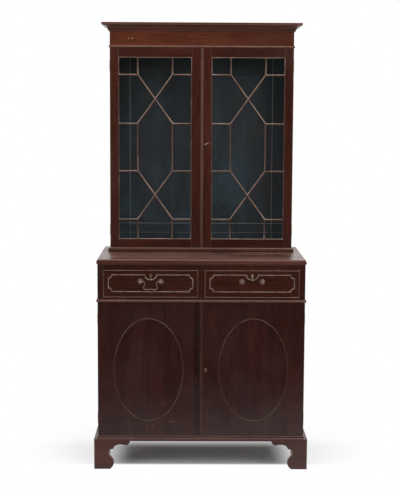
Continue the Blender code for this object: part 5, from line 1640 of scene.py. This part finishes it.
class BOOKCASE_OT_locks(BookcaseOperator, bpy.types.Operator):
    """Locks, bolts and keys"""

    bl_idname = "bookcase.locks"
    bl_label = "Locks and keys"

    # Radii of a key's shank and of the wire of its bow
    shank = 0.0021
    bow = 0.0014

    def build(self, sizes):
        for body in ("upper_right_door", "lower_right_door", "left_drawer", "right_drawer"):
            lock = f"{body}_lock"
            low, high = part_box(lock)
            place = lock_centre(lock)
            # The lock's metal behind the keyhole is painted dark: painted shade where no light reaches
            hole = (place[0], low.y, place[1])
            self.finish_solid(lock, old_metal(f"{lock}_brass", "brass", 0.3, hole=hole))
            self.finish_solid(f"{lock}_bolt", steel())
            inset = Vector((0.005, 0, 0.005))
            near, far = low + inset, high - inset
            screws = [screw_at((x, high.y, z), 1, 0.0024) for x in (near.x, far.x) for z in (near.z, far.z)]
            settle(coat(joined(screws), brass()), f"{lock}_screws", body, "brass")
            if body != "upper_right_door":
                self.escutcheon(lock, body, place, low.y)
        self.finish_solid("dustboard", raw_pine("x"))
        self.key("upper_door_key", "upper_right_door_lock", 20)
        self.key("right_drawer_key", "right_drawer_lock", 90)

    @staticmethod
    def finish_solid(name, finish):
        """A new finish for a solid whose own shape is kept."""
        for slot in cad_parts[name].material_slots:
            slot.material = finish

    @staticmethod
    def escutcheon(lock, body, place, face):
        """A thin brass rim round the keyhole, let into the wood all but its raised edge."""
        rim = keyhole_room(place, face - 0.0006, face + 0.0004, 0.0036)
        carve(rim, keyhole_room(place, face - OVERRUN, face + OVERRUN, 0.0017))
        round_edges(clean(rim), 0.0003, 2, lambda edge: all_of(edge, lambda co: co.y < face - 0.0005))
        settle(coat(smooth(rim), brass()), f"{lock}_escutcheon", body, "brass")

    def key(self, name, lock, tilt):
        """A round shank with a collar, an oval bow in front and a notched bit in the lock."""
        x, z = lock_centre(lock)
        low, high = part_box(name)
        tip, centre = high.y, low.y + 0.010
        turn = math.radians(tilt)
        deselect()
        bpy.ops.mesh.primitive_circle_add(vertices=56, radius=1)
        loop = bpy.context.object
        bpy.ops.transform.resize(value=(0.0135 - self.bow, 0.010 - self.bow, 1))
        apply_place(loop)
        loop.rotation_euler = (0, -turn, 0)
        loop.location = (x, centre, z)
        bow = wire(apply_place(loop), self.bow)
        collar = centre + 0.010
        butt = collar - self.bow - 0.0004
        profile = [
            (butt, 0.0),
            (butt, 0.0014),
            (collar - 0.0006, 0.0022),
            (collar, 0.0033),
            (collar + 0.0008, 0.0035),
            (collar + 0.0017, 0.0035),
            (collar + 0.0024, 0.0030),
            (collar + 0.0032, self.shank),
            (tip - 0.0004, self.shank),
            (tip, self.shank - 0.0005),
            (tip, 0.0),
        ]
        shank = turned((x, 0, z), profile)
        reach = self.shank + 0.0042
        flag = Vector((-math.cos(turn), 0, -math.sin(turn)))
        lift = Vector((-math.sin(turn), 0, math.cos(turn))) * 0.0008
        root = Vector((x, tip - 0.0050, z))
        out = root + flag * reach
        bit = prism([root - lift, out - lift, out + lift, root + lift], (0, 0.0047, 0))
        notch = root + flag * (reach - 0.0006)
        carve(bit, block(notch + Vector((-0.002, 0.0017, -0.002)), notch + Vector((0.002, 0.0029, 0.002))))
        made = smooth(joined([bow, shank, bit]), 45)
        settle(coat(made, steel()), f"{name}_iron", name, "steel", name)


OPERATORS = (
    BOOKCASE_OT_stage,
    BOOKCASE_OT_cases,
    BOOKCASE_OT_mouldings,
    BOOKCASE_OT_feet,
    BOOKCASE_OT_glazed_doors,
    BOOKCASE_OT_cupboard_doors,
    BOOKCASE_OT_drawers,
    BOOKCASE_OT_handles,
    BOOKCASE_OT_hinges,
    BOOKCASE_OT_locks,
)


class BOOKCASE_PT_panel(bpy.types.Panel):
    """Builders of the bookcase's pieces"""

    bl_idname = "BOOKCASE_PT_panel"
    bl_label = "Glazed bookcase"
    bl_space_type = "VIEW_3D"
    bl_region_type = "UI"
    bl_category = "Bookcase"

    def draw(self, context):
        for operator in OPERATORS:
            self.layout.operator(operator.bl_idname)
        for group in (context.scene.bookcase_sizes, context.scene.bookcase_colours):
            for key in group.bl_rna.properties.keys():
                if key not in ("rna_type", "name"):
                    self.layout.prop(group, key)


CLASSES = (BookcaseSizes, BookcaseColours, *OPERATORS, BOOKCASE_PT_panel)


def register():
    for item in CLASSES:
        bpy.utils.register_class(item)
    bpy.types.Scene.bookcase_sizes = bpy.props.PointerProperty(type=BookcaseSizes)
    bpy.types.Scene.bookcase_colours = bpy.props.PointerProperty(type=BookcaseColours)


def unregister():
    del bpy.types.Scene.bookcase_sizes
    del bpy.types.Scene.bookcase_colours
    for item in reversed(CLASSES):
        bpy.utils.unregister_class(item)


def main():
    register()
    for operator in OPERATORS:
        group, name = operator.bl_idname.split(".")
        getattr(getattr(bpy.ops, group), name)()


if __name__ == "__main__":
    main()
